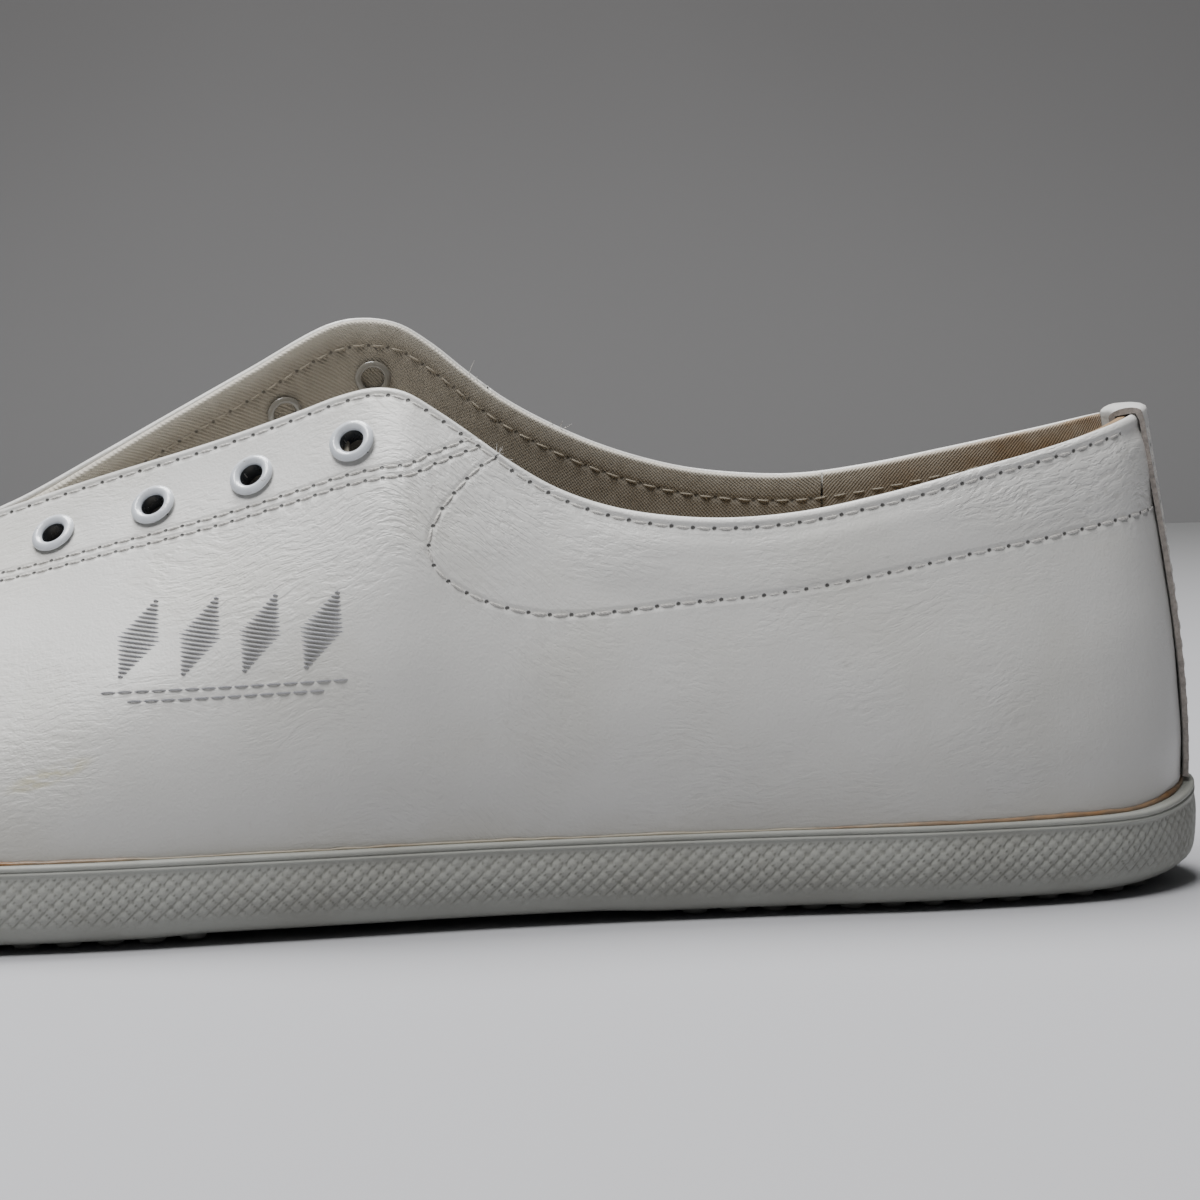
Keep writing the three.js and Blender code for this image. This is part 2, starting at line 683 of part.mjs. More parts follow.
const BOARD_INSET = FEATHER_INSET + LEATHER + STIFFENER + LINING + 3 * GAP + 0.35;
const boardBottom = NUB_HEIGHT + FLOOR_THICKNESS + GAP;
const footbedBottom = boardBottom + BOARD_THICKNESS + GAP;
const raised = (z) => (s) => z + spring(s);
piece("insole_board", plate(BOARD_INSET, raised(boardBottom), raised(boardBottom + BOARD_THICKNESS)),
  COLORS.board, 0.9);
piece("footbed", plate(BOARD_INSET, raised(footbedBottom), raised(footbedBottom + FOOTBED_THICKNESS)),
  COLORS.footbed, 0.9);

// ---------------------------------------------------------------- leather
const STIFF_IN = LEATHER + GAP;
const STIFF_OUT = STIFF_IN + STIFFENER;
const LINING_IN = STIFF_OUT + GAP;
const LINING_OUT = LINING_IN + LINING;
const FOLDED = LINING_IN - GAP; // thickness of the turned-in edge

// Around the toe from one side to the other, up to the ridge, as far back as rear.
const TOE_ROWS = 6;
const toeHeights = () => Array.from({ length: TOE_ROWS + 1 }, (_, j) => j / TOE_ROWS);
const wholeRows = (last) => Array.from({ length: last + 1 }, (_, j) => j);
function toePatch(rear, near, far) {
  const half = columnsBetween(0, qAt(rear));
  const lateral = half.map((q) => ["lateral", q]).reverse();
  const medial = half.map((q) => ["medial", q]).slice(1);
  const turned = (i) => i < half.length - 1;
  const depths = () => [near, far];
  return shell([...lateral, ...medial], wholeRows(TOE_ROWS), depths, toeHeights, turned, true);
}
const LINING_SEAM = VAMP_SEAM + LINING_SEAM_AHEAD;
piece("vamp", toePatch(VAMP_SEAM, 0, LEATHER), COLORS.leather, 0.5);
piece("toe_puff", toePatch(PUFF_REAR, STIFF_IN, STIFF_OUT), COLORS.stiffener, 0.8);
piece("vamp_lining", toePatch(LINING_SEAM, LINING_IN, LINING_OUT), COLORS.lining, 0.95);

// Height on the section of each row. The seam row follows the double seam under the facing and
// the sewn line of the collar, and the rows above it follow the turned edge. The two sides keep
// a small distance where their edges meet on the ridge.
const collarLine = through(COLLAR_LINE);
const rowCache = new Map();
function rowHeights(side, q) {
  const key = `${side}${q.toFixed(7)}`;
  if (!rowCache.has(key)) {
    const s = station(feather, q) / stretchX;
    const trim = THROAT_TRIM * ease((s - THROAT + 14) / 10);
    const collar = vHeight(side, q, collarLine(s * stretchX) * tall);
    const facing = vDown(side, q, trim + FACING_WIDTH);
    const line = lerp(collar, facing, ease((s - COLLAR_FRONT) / 6));
    const fold = vDown(side, q, trim + FOLD_DEPTH + 1);
    const heights = [];
    for (let j = 0; j <= LOW_ROWS; j += 1) heights.push((line * j) / LOW_ROWS);
    heights.push((line + fold) / 2, fold);
    for (const down of [FOLD_DEPTH, FOLD_ROUND, 0]) heights.push(vDown(side, q, trim + down));
    rowCache.set(key, heights);
  }
  return rowCache.get(key);
}

// One side between two distances from the heel, or back to the middle of the heel.
function sidePatch(side, front, rear, rows, depths) {
  const end = rear > 0 ? qAt(rear) : backOf(side);
  const columns = columnsBetween(qAt(front), end).map((q) => [side, q]);
  return shell(columns, rows, depths, rowHeights, () => false);
}
// Last place of a side before the back seam.
function backOf(side) {
  const beside = Math.abs(atDepth(side, 1 - COLUMN_STEP, 1, LEATHER)[1]);
  return 1 - (COLUMN_STEP * MIDLINE_GAP) / beside;
}
// Around the heel from one side to the other.
function heelPatch(front, rows, near, far) {
  const half = columnsBetween(qAt(front), 1);
  const lateral = half.map((q) => ["lateral", q]);
  const medial = half.map((q) => ["medial", q]).reverse().slice(1);
  const turned = (i) => i >= half.length - 1;
  return shell([...lateral, ...medial], rows, () => [near, far], rowHeights, turned);
}

// Axis and place of each eyelet.
const eyelets = [];
for (const side of ["lateral", "medial"])
  for (let n = 0; n < EYELET_PAIRS; n += 1) {
    const q = qAt(EYELET_FIRST + EYELET_STEP * n);
    const v = vDown(side, q, EYELET_EDGE);
    const at = surface(side, q, v);
    const out = normal(side, q, v);
    const turn = new THREE.Quaternion().setFromUnitVectors(
      new THREE.Vector3(0, 1, 0),
      new THREE.Vector3(-out[0], out[1], out[2]).normalize(),
    );
    eyelets.push({ side, n, at: new THREE.Vector3(-at[0], at[1], at[2]), turn });
  }
// Cuts the eyelets' holes, and presses a flat seat for the flange and for the curled end.
const CURL_TOP = -(LINING_OUT + GAP);
function punched(geometry, side) {
  let made = solid(geometry);
  const disc = (radius, from, to, sides) => {
    const corner = radius / Math.cos(Math.PI / sides); // the flats lie at the radius
    const shape = new THREE.CylinderGeometry(corner, corner, to - from, sides, 1);
    return shape.translate(0, (from + to) / 2, 0);
  };
  const cuts = [
    disc(EYELET_BORE + EYELET_WALL + EYELET_FIT, -8, 6, 8),
    disc(EYELET_RADIUS + EYELET_FIT, EYELET_SEAT - EYELET_FIT, 4, 10),
    disc(EYELET_CURL + EYELET_FIT, -8, CURL_TOP + EYELET_FIT * 0.9, 8),
  ];
  for (const eyelet of eyelets.filter((e) => e.side === side))
    for (const cut of cuts) {
      const tool = cut.clone();
      tool.applyQuaternion(eyelet.turn);
      tool.translate(...eyelet.at.toArray());
      made = made.subtract(solid(tool));
    }
  return geometryOf(made);
}

const COUNTER_ROWS = [0.3, 1, 2, 3, 3.85];
const LINING_ROWS = [...wholeRows(FOLD_ROW), EDGE_ROW];
const STAY_ROWS = [SEAM_ROW, SEAM_ROW + 1, FOLD_ROW - 0.1];
function leatherDepths(row) {
  if (row <= FOLD_ROW) return [0, LEATHER];
  return row < EDGE_ROW ? [0, FOLDED] : [0.6, FOLDED - 0.5];
}
for (const side of ["lateral", "medial"]) {
  const quarter = sidePatch(side, VAMP_SEAM - SEAM_GAP, 0, wholeRows(EDGE_ROW), leatherDepths);
  piece(`${side}_quarter`, punched(quarter, side), COLORS.leather, 0.5);
  const stiff = () => [STIFF_IN, STIFF_OUT];
  const stay = sidePatch(side, FACING_FRONT, FACING_REAR, STAY_ROWS, stiff);
  piece(`${side}_eyestay`, punched(stay, side), COLORS.stiffener, 0.85);
  const lining = sidePatch(side, LINING_SEAM - SEAM_GAP, HEEL_LINING_FRONT + SEAM_GAP, LINING_ROWS,
    () => [LINING_IN, LINING_OUT]);
  piece(`${side}_lining`, punched(lining, side), COLORS.lining, 0.95);
}
piece("heel_lining", heelPatch(HEEL_LINING_FRONT, LINING_ROWS, LINING_IN, LINING_OUT),
  COLORS.heelLining, 0.95);
piece("heel_counter", heelPatch(COUNTER_FRONT, COUNTER_ROWS, STIFF_IN, STIFF_OUT),
  COLORS.stiffener, 0.8);
piece("collar_reinforcement", heelPatch(COLLAR_FRONT, STAY_ROWS, STIFF_IN, STIFF_OUT),
  COLORS.stiffener, 0.85);

// Narrow leather strip over the back seam, turned in over the top edge.
function heelStrip() {
  const columns = 4;
  const outerRows = 6;
  const start = (side, q) => vHeight(side, q, WALL_TOP_HEEL + GAP + 0.2);
  const path = (side, q) => {
    const low = start(side, q);
    const inside = LINING_OUT + GAP;
    const rows = [];
    for (let j = 0; j <= outerRows; j += 1)
      rows.push([lerp(low, 1, j / outerRows), -GAP, -GAP - STRIP_THICKNESS, 0, 0]);
    const over = GAP + STRIP_THICKNESS * 0.9;
    rows.push([1, -0.1, -0.3, GAP + 0.1, over]);
    rows.push([1, inside, inside + 0.2, GAP + 0.1, over]);
    for (const k of [0.06, 0.5, 1])
      rows.push([vDown(side, q, STRIP_TURN_IN * k), inside, inside + STRIP_THICKNESS, 0, 0]);
    return rows;
  };
  const near = [];
  const far = [];
  for (let i = 0; i <= 2 * columns; i += 1) {
    const side = i < columns ? "lateral" : "medial";
    const half = (STRIP_HALF_WIDTH * Math.abs(i - columns)) / columns;
    near.push([]);
    far.push([]);
    for (let j = 0; j < path(side, 1).length; j += 1) {
      const v = path(side, 1)[j][0];
      const q = half > 0 ? qBeside(side, v, half) : 1;
      const [w, under, over, lift, liftOver] = path(side, q)[j];
      near[i].push(add(atDepth(side, q, w, under), [0, 0, lift]));
      far[i].push(add(atDepth(side, q, w, over), [0, 0, liftOver]));
    }
  }
  return sandwich(near, far);
}
piece("heel_strip", heelStrip(), COLORS.leather, 0.5);

// ---------------------------------------------------------------- tongue
const tongueHeight = through(TONGUE_HEIGHT);
const tongueWidth = through(TONGUE_WIDTH);
function tonguePoint(s, k, depth) {
  const half = tongueWidth(s * stretchX) * stretchY;
  const drop = TONGUE_ARCH * (Math.hypot(TONGUE_CROWN, half * k) - TONGUE_CROWN);
  const middle = TONGUE_MIDDLE * stretchY;
  return [s * stretchX, middle + half * k, tongueHeight(s * stretchX) * tall - drop - depth];
}
function tongueLayer(near, far) {
  const stations = [TONGUE_TIP, 127, 132, 140, 152, 165, 180, 195, 209, TONGUE_HINGE, TONGUE_ROOT];
  const rows = 8;
  const layer = (depth) =>
    stations.map((s) =>
      Array.from({ length: rows + 1 }, (_, j) => tonguePoint(s, (2 * j) / rows - 1, depth)),
    );
  return sandwich(layer(near), layer(far));
}
piece("tongue", tongueLayer(0, LEATHER), COLORS.leather, 0.55);
piece("tongue_lining", tongueLayer(LEATHER + GAP, LEATHER + GAP + TONGUE_LINING), COLORS.lining, 0.95);

// ---------------------------------------------------------------- eyelets
const BARREL = EYELET_BORE + EYELET_WALL;
const eyeletProfile = [
  [EYELET_BORE, CURL_TOP - 0.55],
  [EYELET_CURL, CURL_TOP - 0.6],
  [EYELET_CURL, CURL_TOP],
  [BARREL, CURL_TOP],
  [BARREL, EYELET_SEAT],
  [EYELET_RADIUS, EYELET_SEAT],
  [EYELET_RADIUS - 0.25, EYELET_SEAT + EYELET_HEIGHT * 0.7],
  [EYELET_RADIUS - 0.9, EYELET_SEAT + EYELET_HEIGHT],
  [EYELET_BORE + 0.15, EYELET_SEAT + EYELET_HEIGHT * 0.6],
  [EYELET_BORE, EYELET_SEAT],
];
const eyeletShape = new THREE.LatheGeometry(
  [...eyeletProfile, eyeletProfile[0]].map(([r, h]) => new THREE.Vector2(r, h)),
  10,
);
for (const { side, n, at, turn } of eyelets) {
  const mesh = piece(`eyelet_${side}_${n + 1}`, eyeletShape.clone(), COLORS.enamel, 0.2, 0.1);
  mesh.position.copy(at);
  mesh.quaternion.copy(turn);
}

// ---------------------------------------------------------------- frame
const box = new THREE.Box3().setFromObject(group);
const centre = box.getCenter(new THREE.Vector3());
group.position.set(-centre.x, -centre.y, -box.min.z);
group.updateMatrixWorld(true);

export default group;
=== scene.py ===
"""Looks of a low bowling shoe, unlaced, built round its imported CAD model.

Shapes are worked out in millimetres as [s, y, z]: s is the distance forward from the back of the
heel, y the distance to the inner side and z the height. The upper is one smooth surface, made of
sections that climb from the sole to the top edge: q runs along each side from 0 at the toe to 1 at
the heel, and v runs up a section. Each leather or lining is a patch of it between two depths.
"""

import math

import bpy
import numpy as np
from mathutils import Matrix, Vector


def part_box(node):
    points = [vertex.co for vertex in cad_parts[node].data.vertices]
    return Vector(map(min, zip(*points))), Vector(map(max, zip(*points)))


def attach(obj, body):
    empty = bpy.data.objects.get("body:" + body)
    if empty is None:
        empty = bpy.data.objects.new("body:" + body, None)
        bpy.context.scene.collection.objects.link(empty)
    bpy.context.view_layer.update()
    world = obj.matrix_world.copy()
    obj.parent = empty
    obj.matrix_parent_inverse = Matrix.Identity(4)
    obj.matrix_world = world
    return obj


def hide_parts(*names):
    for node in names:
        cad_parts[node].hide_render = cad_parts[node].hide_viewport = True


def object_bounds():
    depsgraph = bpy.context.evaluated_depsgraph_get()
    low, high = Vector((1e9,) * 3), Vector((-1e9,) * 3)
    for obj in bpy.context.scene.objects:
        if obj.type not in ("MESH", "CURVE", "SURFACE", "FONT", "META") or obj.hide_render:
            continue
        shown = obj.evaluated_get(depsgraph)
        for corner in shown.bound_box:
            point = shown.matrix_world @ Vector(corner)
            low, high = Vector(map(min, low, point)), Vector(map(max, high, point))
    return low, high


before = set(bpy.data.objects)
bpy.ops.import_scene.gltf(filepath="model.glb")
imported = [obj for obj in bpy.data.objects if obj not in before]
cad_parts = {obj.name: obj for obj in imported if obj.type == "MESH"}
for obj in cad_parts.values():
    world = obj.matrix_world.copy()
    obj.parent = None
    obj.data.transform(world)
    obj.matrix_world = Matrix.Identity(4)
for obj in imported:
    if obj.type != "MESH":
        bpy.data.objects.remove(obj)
CAD_LOW, CAD_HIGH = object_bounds()
SHOE, TONGUE = "shoe", "tongue_flap"
SIDES = ("lateral", "medial")
MM = 0.001

# ---------------------------------------------------------------- sizes shared with the CAD part
SOLE_LENGTH, SPRING_START, TOE_SPRING = 297, 215, 8
GAP, LEATHER, STIFFENER, LINING = 0.3, 1.1, 0.8, 0.7
NUB_HEIGHT, FLOOR_THICKNESS, ARCH_LIFT = 1.3, 4.5, 0.4
WALL_TOP, WALL_TOP_HEEL, WALL_TOP_TOE = 13.6, 16.4, 17.5
BOARD_THICKNESS, FOOTBED_THICKNESS = 1.8, 2.5
FEATHER_INSET, THROAT, POLE = 3.6, 211, 262
VAMP_SEAM, LINING_SEAM, SEAM_GAP = 213, 217, 0.4
HEEL_LINING_FRONT, COUNTER_FRONT, PUFF_REAR, COLLAR_FRONT = 58, 70, 250, 117
FACING_WIDTH, FACING_REAR, FACING_FRONT = 16.5, 122, 208
STRIP_HALF_WIDTH = 7
EYELET_PAIRS, EYELET_FIRST, EYELET_STEP, EYELET_EDGE = 5, 136.4, 16.1, 10
STIFF_IN = LEATHER + GAP
STIFF_OUT = STIFF_IN + STIFFENER
LINING_IN = STIFF_OUT + GAP
LINING_OUT = LINING_IN + LINING
FOLD = LINING_IN - GAP
TONGUE_ROOT, TONGUE_TIP, TONGUE_MIDDLE = 223, 124, 2

OUTLINE = [
    (297, 6), (290.5, -12), (273, -29), (246, -42), (214, -48.8), (182, -49.5), (148, -44.5),
    (112, -38), (76, -34.5), (42, -33), (16, -26.5), (3.6, -14), (0, 0), (3.6, 14), (16, 26.5),
    (42, 32.5), (76, 32), (112, 32.5), (148, 38.5), (182, 47.5), (214, 53.5), (246, 51.2),
    (273, 40.5), (290.5, 23),
]
RIM = [
    (THROAT, 2, 61.8), (204, -1.6, 63.4), (195.5, -4.6, 65.7), (186.5, -7.2, 68.4),
    (177.5, -9.4, 71.0), (158, -13.6, 76.3), (145, -16.6, 80.4), (137.5, -18.3, 82.9),
    (132.0, -19.4, 83.9), (127.5, -20.4, 83.2), (122, -21.6, 79.9), (116, -23, 75.6),
    (110.6, -24.2, 71.6), (104, -25.4, 67.6), (97.5, -26.4, 65.0), (90, -27, 63.2),
    (78.5, -27.2, 62.1), (66, -26.6, 62.7), (52, -25, 65.2), (38, -22.2, 68.5),
    (24, -17.8, 71.9), (13, -11.6, 75.2), (8, 0, 77.0), (12, 11.4, 76.6), (23, 17.6, 74.2),
    (38, 22, 71.2), (51, 24.8, 68.8), (63, 26.4, 67.5), (76, 27.2, 68.2), (86, 27.2, 70.0),
    (99, 26.8, 74.4), (112, 26.2, 81.2), (119, 25.8, 86.4), (125.5, 25.2, 91.8),
    (131, 24.6, 95.2), (137, 23.8, 96.3), (143, 22.8, 95.4), (157, 20, 88.0), (170, 16.6, 80.9),
    (182.5, 13, 74.0), (195.5, 9, 67.0), (204, 5.8, 63.8), (THROAT, 2, 61.8),
]
RIDGE = [(THROAT, 2, 61.8), (228, 3, 57.6), (245, 4, 52.4), (POLE, 5, 45.8)]
SLOPE = {
    "lateral": [(0, 83), (40, 80), (80, 75), (105, 67), (120, 58), (134, 51), (180, 51),
                (195, 46), (204, 38), (THROAT, 30), (222, 15), (236, 0)],
    "medial": [(0, 83), (40, 80), (80, 79), (110, 78), (150, 74), (172, 66), (185, 56),
               (195, 47), (204, 38), (THROAT, 30), (222, 15), (236, 0)],
}
REACH = [(0, 22), (40, 18), (80, 18), (110, 21), (135, 24), (160, 24), (195, 21), (THROAT, 18),
         (228, 21), (250, 22), (272, 18), (297, 19)]
SWELL = [(0, 3.4), (16, 4.4), (45, 7.6), (110, 8.2), (200, 7), (250, 6.4), (297, 3.4)]
SWELL_HEIGHT = [(0, 0.3), (80, 0.32), (160, 0.4), (230, 0.42), (275, 0.48), (297, 0.52)]
TONGUE_HEIGHT = [(TONGUE_TIP, 71.2), (140, 68.4), (160, 64.4), (180, 60.0), (200, 56.2),
                 (212, 54.2), (TONGUE_ROOT, 52.8)]
TONGUE_WIDTH = [(TONGUE_TIP, 14), (126, 19.5), (130, 23), (137, 25), (160, 24), (180, 20.5),
                (200, 15), (TONGUE_ROOT, 11)]


# ---------------------------------------------------------------- curves
def through(table):
    """Smooth curve through a table, without overshoot."""
    xs, ys = np.array(table, float).T
    rise = np.diff(ys) / np.diff(xs)
    both = rise[:-1] * rise[1:]
    middle = np.where(both > 0, 2 * both / np.where(both > 0, rise[:-1] + rise[1:], 1), 0)
    slope = np.concatenate([rise[:1], middle, rise[-1:]])

    def at(x):
        x = np.clip(x, xs[0], xs[-1])
        i = np.clip(np.searchsorted(xs, x, "right") - 1, 0, len(xs) - 2)
        w = xs[i + 1] - xs[i]
        k = (x - xs[i]) / w
        a = ys[i] * (1 + 2 * k) * (1 - k) ** 2 + slope[i] * w * k * (1 - k) ** 2
        return a + ys[i + 1] * k * k * (3 - 2 * k) + slope[i + 1] * w * k * k * (k - 1)

    return at


def dense(points, closed, count):
    """Points of a centripetal Catmull-Rom curve."""
    p = np.array(points, float)
    n = len(p)
    spans = n if closed else n - 1
    made = []
    for j in range(count + 1):
        t = spans * j / count
        i = min(int(t), spans - 1)
        w = t - i
        if closed:
            a, b, c, d = (p[(i + k) % n] for k in (-1, 0, 1, 2))
        else:
            b, c = p[i], p[i + 1]
            a = p[i - 1] if i > 0 else 2 * b - c
            d = p[i + 2] if i + 2 < n else 2 * c - b
        d0, d1, d2 = (max(np.linalg.norm(e), 1e-6) ** 0.5 for e in (b - a, c - b, d - c))
        t1 = ((b - a) / d0 - (c - a) / (d0 + d1) + (c - b) / d1) * d1
        t2 = ((c - b) / d1 - (d - b) / (d1 + d2) + (d - c) / d2) * d1
        square, cube = 3 * (c - b) - 2 * t1 - t2, 2 * (b - c) + t1 + t2
        made.append(b + t1 * w + square * w**2 + cube * w**3)
    return np.array(made)


def by_length(line):
    """Looks up a line's points by their distance from the heel."""
    if line[0][0] > line[-1][0]:
        line = line[::-1]
    return lambda s: np.stack([np.interp(s, line[:, 0], column) for column in line.T], -1)


def split_sides(loop):
    """Splits a loop that runs toe, outer side, heel, inner side into its two sides."""
    heel, toe = loop[:, 0].argmin(), loop[:, 0].argmax()
    rolled = np.concatenate([loop[toe:], loop[:toe], loop[toe : toe + 1]])
    turn = (heel - toe) % len(loop)
    return {
        "first": loop[heel, 0],
        "last": loop[toe, 0],
        "lateral": by_length(rolled[: turn + 1]),
        "medial": by_length(rolled[turn:]),
    }


def unit(a):
    """Vectors of length 1."""
    return a / np.maximum(np.linalg.norm(a, axis=-1, keepdims=True), 1e-9)


def ease(x):
    """Smooth step from 0 to 1 as x goes from 0 to 1."""
    k = np.clip(x, 0, 1)
    return k * k * (3 - 2 * k)


def bump(x, middle, width):
    return np.exp(-(((x - middle) / width) ** 2))


outline = dense(OUTLINE, True, 960)[:-1]
ahead, behind = np.roll(outline, -1, 0), np.roll(outline, 1, 0)
outline_out = unit(np.stack([behind[:, 1] - ahead[:, 1], ahead[:, 0] - behind[:, 0]], -1))
outline_out *= 1 if outline_out[0, 0] > 0 else -1
ring_cache = {}


def inset(distance):
    """The rubber's outline moved in, with its outward direction beside each point."""
    if distance not in ring_cache:
        moved = outline - outline_out * distance
        ring_cache[distance] = split_sides(np.hstack([moved, outline_out]))
    return ring_cache[distance]


def station(ring, q):
    """Distance from the heel at q."""
    return ring["first"] + (ring["last"] - ring["first"]) * (1 + np.cos(np.pi * q)) / 2


feather = inset(FEATHER_INSET)


def q_at(s):
    """q of the foot of a section at distance s from the heel."""
    k = (np.asarray(s, float) - feather["first"]) / (feather["last"] - feather["first"])
    return np.arccos(np.clip(2 * k - 1, -1, 1)) / np.pi


def on_inset(distance, side, q):
    """Points [s, y] and outward directions on the outline moved in."""
    ring = inset(distance)
    return ring[side](station(ring, q))


def spring(s):
    """Height by which the sole turns up towards the toe."""
    return TOE_SPRING * (np.maximum(s - SPRING_START, 0) / (SOLE_LENGTH - SPRING_START)) ** 2


# ---------------------------------------------------------------- surface of the upper
FEATHER_Z = NUB_HEIGHT + FLOOR_THICKNESS + GAP
HEEL_EASE = 60  # length over which the back of the heel leans forward to the top edge
FLAT_TOP_END = 195  # where the tops of sections start to turn along the ridge
rim = split_sides(dense(RIM, False, 1500)[:-1])
ridge_line = by_length(dense(RIDGE, False, 300))
slopes = {side: through(SLOPE[side]) for side in SIDES}
reach, swell, swell_height = through(REACH), through(SWELL), through(SWELL_HEIGHT)


def top_station(s):
    """Distance from the heel of a section's top, for a foot at distance s."""
    full = feather["last"] - THROAT
    k = (s - THROAT) / full
    front = THROAT + full * (k - (1 - (POLE - THROAT) / full) * k * k)
    k = np.clip((s - feather["first"]) / HEEL_EASE, 0, 1)
    return np.where(s >= THROAT, front, s + (rim["first"] - feather["first"]) * (1 - k) ** 2)


def along_ridge(top):
    """Forward direction of the ridge at the tops of sections."""
    at = np.minimum(np.maximum(top, THROAT) + 1, POLE)
    return unit(ridge_line(at) - ridge_line(at - 2))


def section(side, q):
    """The four control points of each section, as an array of q's shape + (4, 3)."""
    s, y, ns, ny = np.moveaxis(on_inset(FEATHER_INSET, side, q), -1, 0)
    foot = np.stack([s, y, FEATHER_Z + spring(s)], -1)
    top = top_station(s)
    high = np.where((top >= THROAT)[..., None], ridge_line(top), rim[side](top))
    k = ease((top - FLAT_TOP_END) / (THROAT - FLAT_TOP_END))[..., None]
    forward = unit(np.array([1.0, 0, 0]) * (1 - k) + along_ridge(top) * k)
    flat = unit(np.stack([np.zeros_like(ny), ny, np.zeros_like(ny)], -1) + ns[..., None] * forward)
    slope = np.radians(slopes[side](top))[..., None]
    away = flat * np.cos(slope) + np.array([0, 0, -1.0]) * np.sin(slope)
    lift = swell_height(s) * (high[..., 2] - foot[..., 2])
    lower = foot + np.stack([ns * swell(s), ny * swell(s), lift], -1)
    return np.stack([foot, lower, high + away * reach(s)[..., None], high], -2)


def surface(side, q, v):
    """Points of the upper's outside. q and v are arrays of one shape, or q one row per column."""
    q, v = np.broadcast_arrays(q, v)
    p = section(side, q)
    v = v[..., None]
    w = 1 - v
    a, b, c, d = (p[..., i, :] for i in range(4))
    return a * w**3 + 3 * b * w * w * v + 3 * c * w * v * v + d * v**3


def normal(side, q, v):
    """Outward directions of the upper, upright to its ridge where the two sides meet."""
    q, v = np.broadcast_arrays(np.asarray(q, float), np.asarray(v, float))
    step = 0.002
    q0, q1 = np.maximum(q - step, 0), np.minimum(q + step, 1)
    v0, v1 = np.maximum(v - step, 0), np.minimum(v + step, 1)
    n = unit(np.cross(surface(side, q1, v) - surface(side, q0, v),
                      surface(side, q, v1) - surface(side, q, v0)))
    p = surface(side, q, v)
    middle = np.stack([np.clip(p[..., 0], 40, 240), np.full_like(q, 1), np.full_like(q, 22)], -1)
    n *= np.where(np.sum(n * (p - middle), -1, keepdims=True) < 0, -1, 1)
    top = top_station(station(feather, q))
    up = unit(np.cross(along_ridge(top), [0, 1, 0]))
    up *= np.where(up[..., 2:] < 0, -1, 1)
    return np.where(((top >= THROAT) & (v > 0.999))[..., None], up, n)


def at_depth(side, q, v, depth):
    """Points some depth inside the upper's outside."""
    depth = np.asarray(depth, float)
    return surface(side, q, v) - normal(side, q, v) * depth[..., None]


SAMPLES = np.linspace(1, 0, 241)  # places down a section at which its length is measured


def v_down(side, q, distance):
    """v at some distances down the sections from the top edge: q has n columns, distance n x m."""
    q = np.asarray(q, float)
    p = surface(side, q[:, None], SAMPLES[None, :])
    arc = np.cumsum(np.linalg.norm(np.diff(p, axis=1), axis=-1), 1)
    arc = np.hstack([np.zeros((len(q), 1)), arc])
    distance = np.broadcast_to(distance, (len(q), np.shape(distance)[-1]))
    return np.stack([np.interp(distance[i], arc[i], SAMPLES) for i in range(len(q))]), arc[:, -1]


def v_height(side, q, z):
    """v at which sections reach a height."""
    q = np.atleast_1d(np.asarray(q, float))
    heights = surface(side, q[:, None], SAMPLES[None, ::-1])[..., 2]
    z = np.broadcast_to(z, q.shape)
    return np.array([np.interp(z[i], heights[i], SAMPLES[::-1]) for i in range(len(q))])


# ---------------------------------------------------------------- from sizes to objects
sole_low, sole_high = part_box("cup_sole")
HEEL_X = sole_high.x / MM
SIDE_Y = (sole_low.y + sole_high.y) / 2 / MM - (outline[:, 1].min() + outline[:, 1].max()) / 2


def to_row(points):
    """From [s, y, z] in millimetres to the frame's metres."""
    p = np.asarray(points, float)
    return np.stack([HEEL_X - p[..., 0], p[..., 1] + SIDE_Y, p[..., 2]], -1) * MM


WELDS_PER_METRE = 2e5  # points in the same cell of this grid become one


def mesh_object(name, points, faces, uvs, material, smooth, body=SHOE):
    """A welded mesh with outward faces. uvs holds a pair for each point, by layer name."""
    row = to_row(points)
    keys = np.round(row * WELDS_PER_METRE).astype(np.int64)
    _, first, welded = np.unique(keys, axis=0, return_index=True, return_inverse=True)
    welded = welded.ravel()
    kept, loops = [], []
    for face in faces:
        ids = [welded[i] for i in face]
        clean = [k for k in range(len(ids)) if ids[k] != ids[k - 1]]
        if len(clean) > 2:
            kept.append([int(ids[k]) for k in clean])
            loops.extend(face[k] for k in clean)
    mesh = bpy.data.meshes.new(name)
    mesh.from_pydata(row[first].tolist(), [], kept)
    for layer, pairs in uvs.items():
        data = mesh.uv_layers.new(name=layer).data
        data.foreach_set("uv", np.asarray(pairs, float)[loops].astype(np.float32).ravel())
    mesh.update()
    obj = bpy.data.objects.new(name, mesh)
    bpy.context.scene.collection.objects.link(obj)
    turn_outwards(mesh)
    mesh.polygons.foreach_set("use_smooth", [True] * len(mesh.polygons))
    mesh.set_sharp_from_angle(angle=math.radians(smooth))
    mesh.materials.append(material)
    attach(obj, body)
    return obj


def turn_outwards(mesh):
    """Faces come in one consistent direction, so the sign of the volume says which."""
    mesh.calc_loop_triangles()
    co = np.array([v.co for v in mesh.vertices])
    tris = np.array([t.vertices for t in mesh.loop_triangles])
    a, b, c = co[tris[:, 0]], co[tris[:, 1]], co[tris[:, 2]]
    if np.einsum("ij,ij->i", a, np.cross(b, c)).sum() < 0:
        mesh.flip_normals()


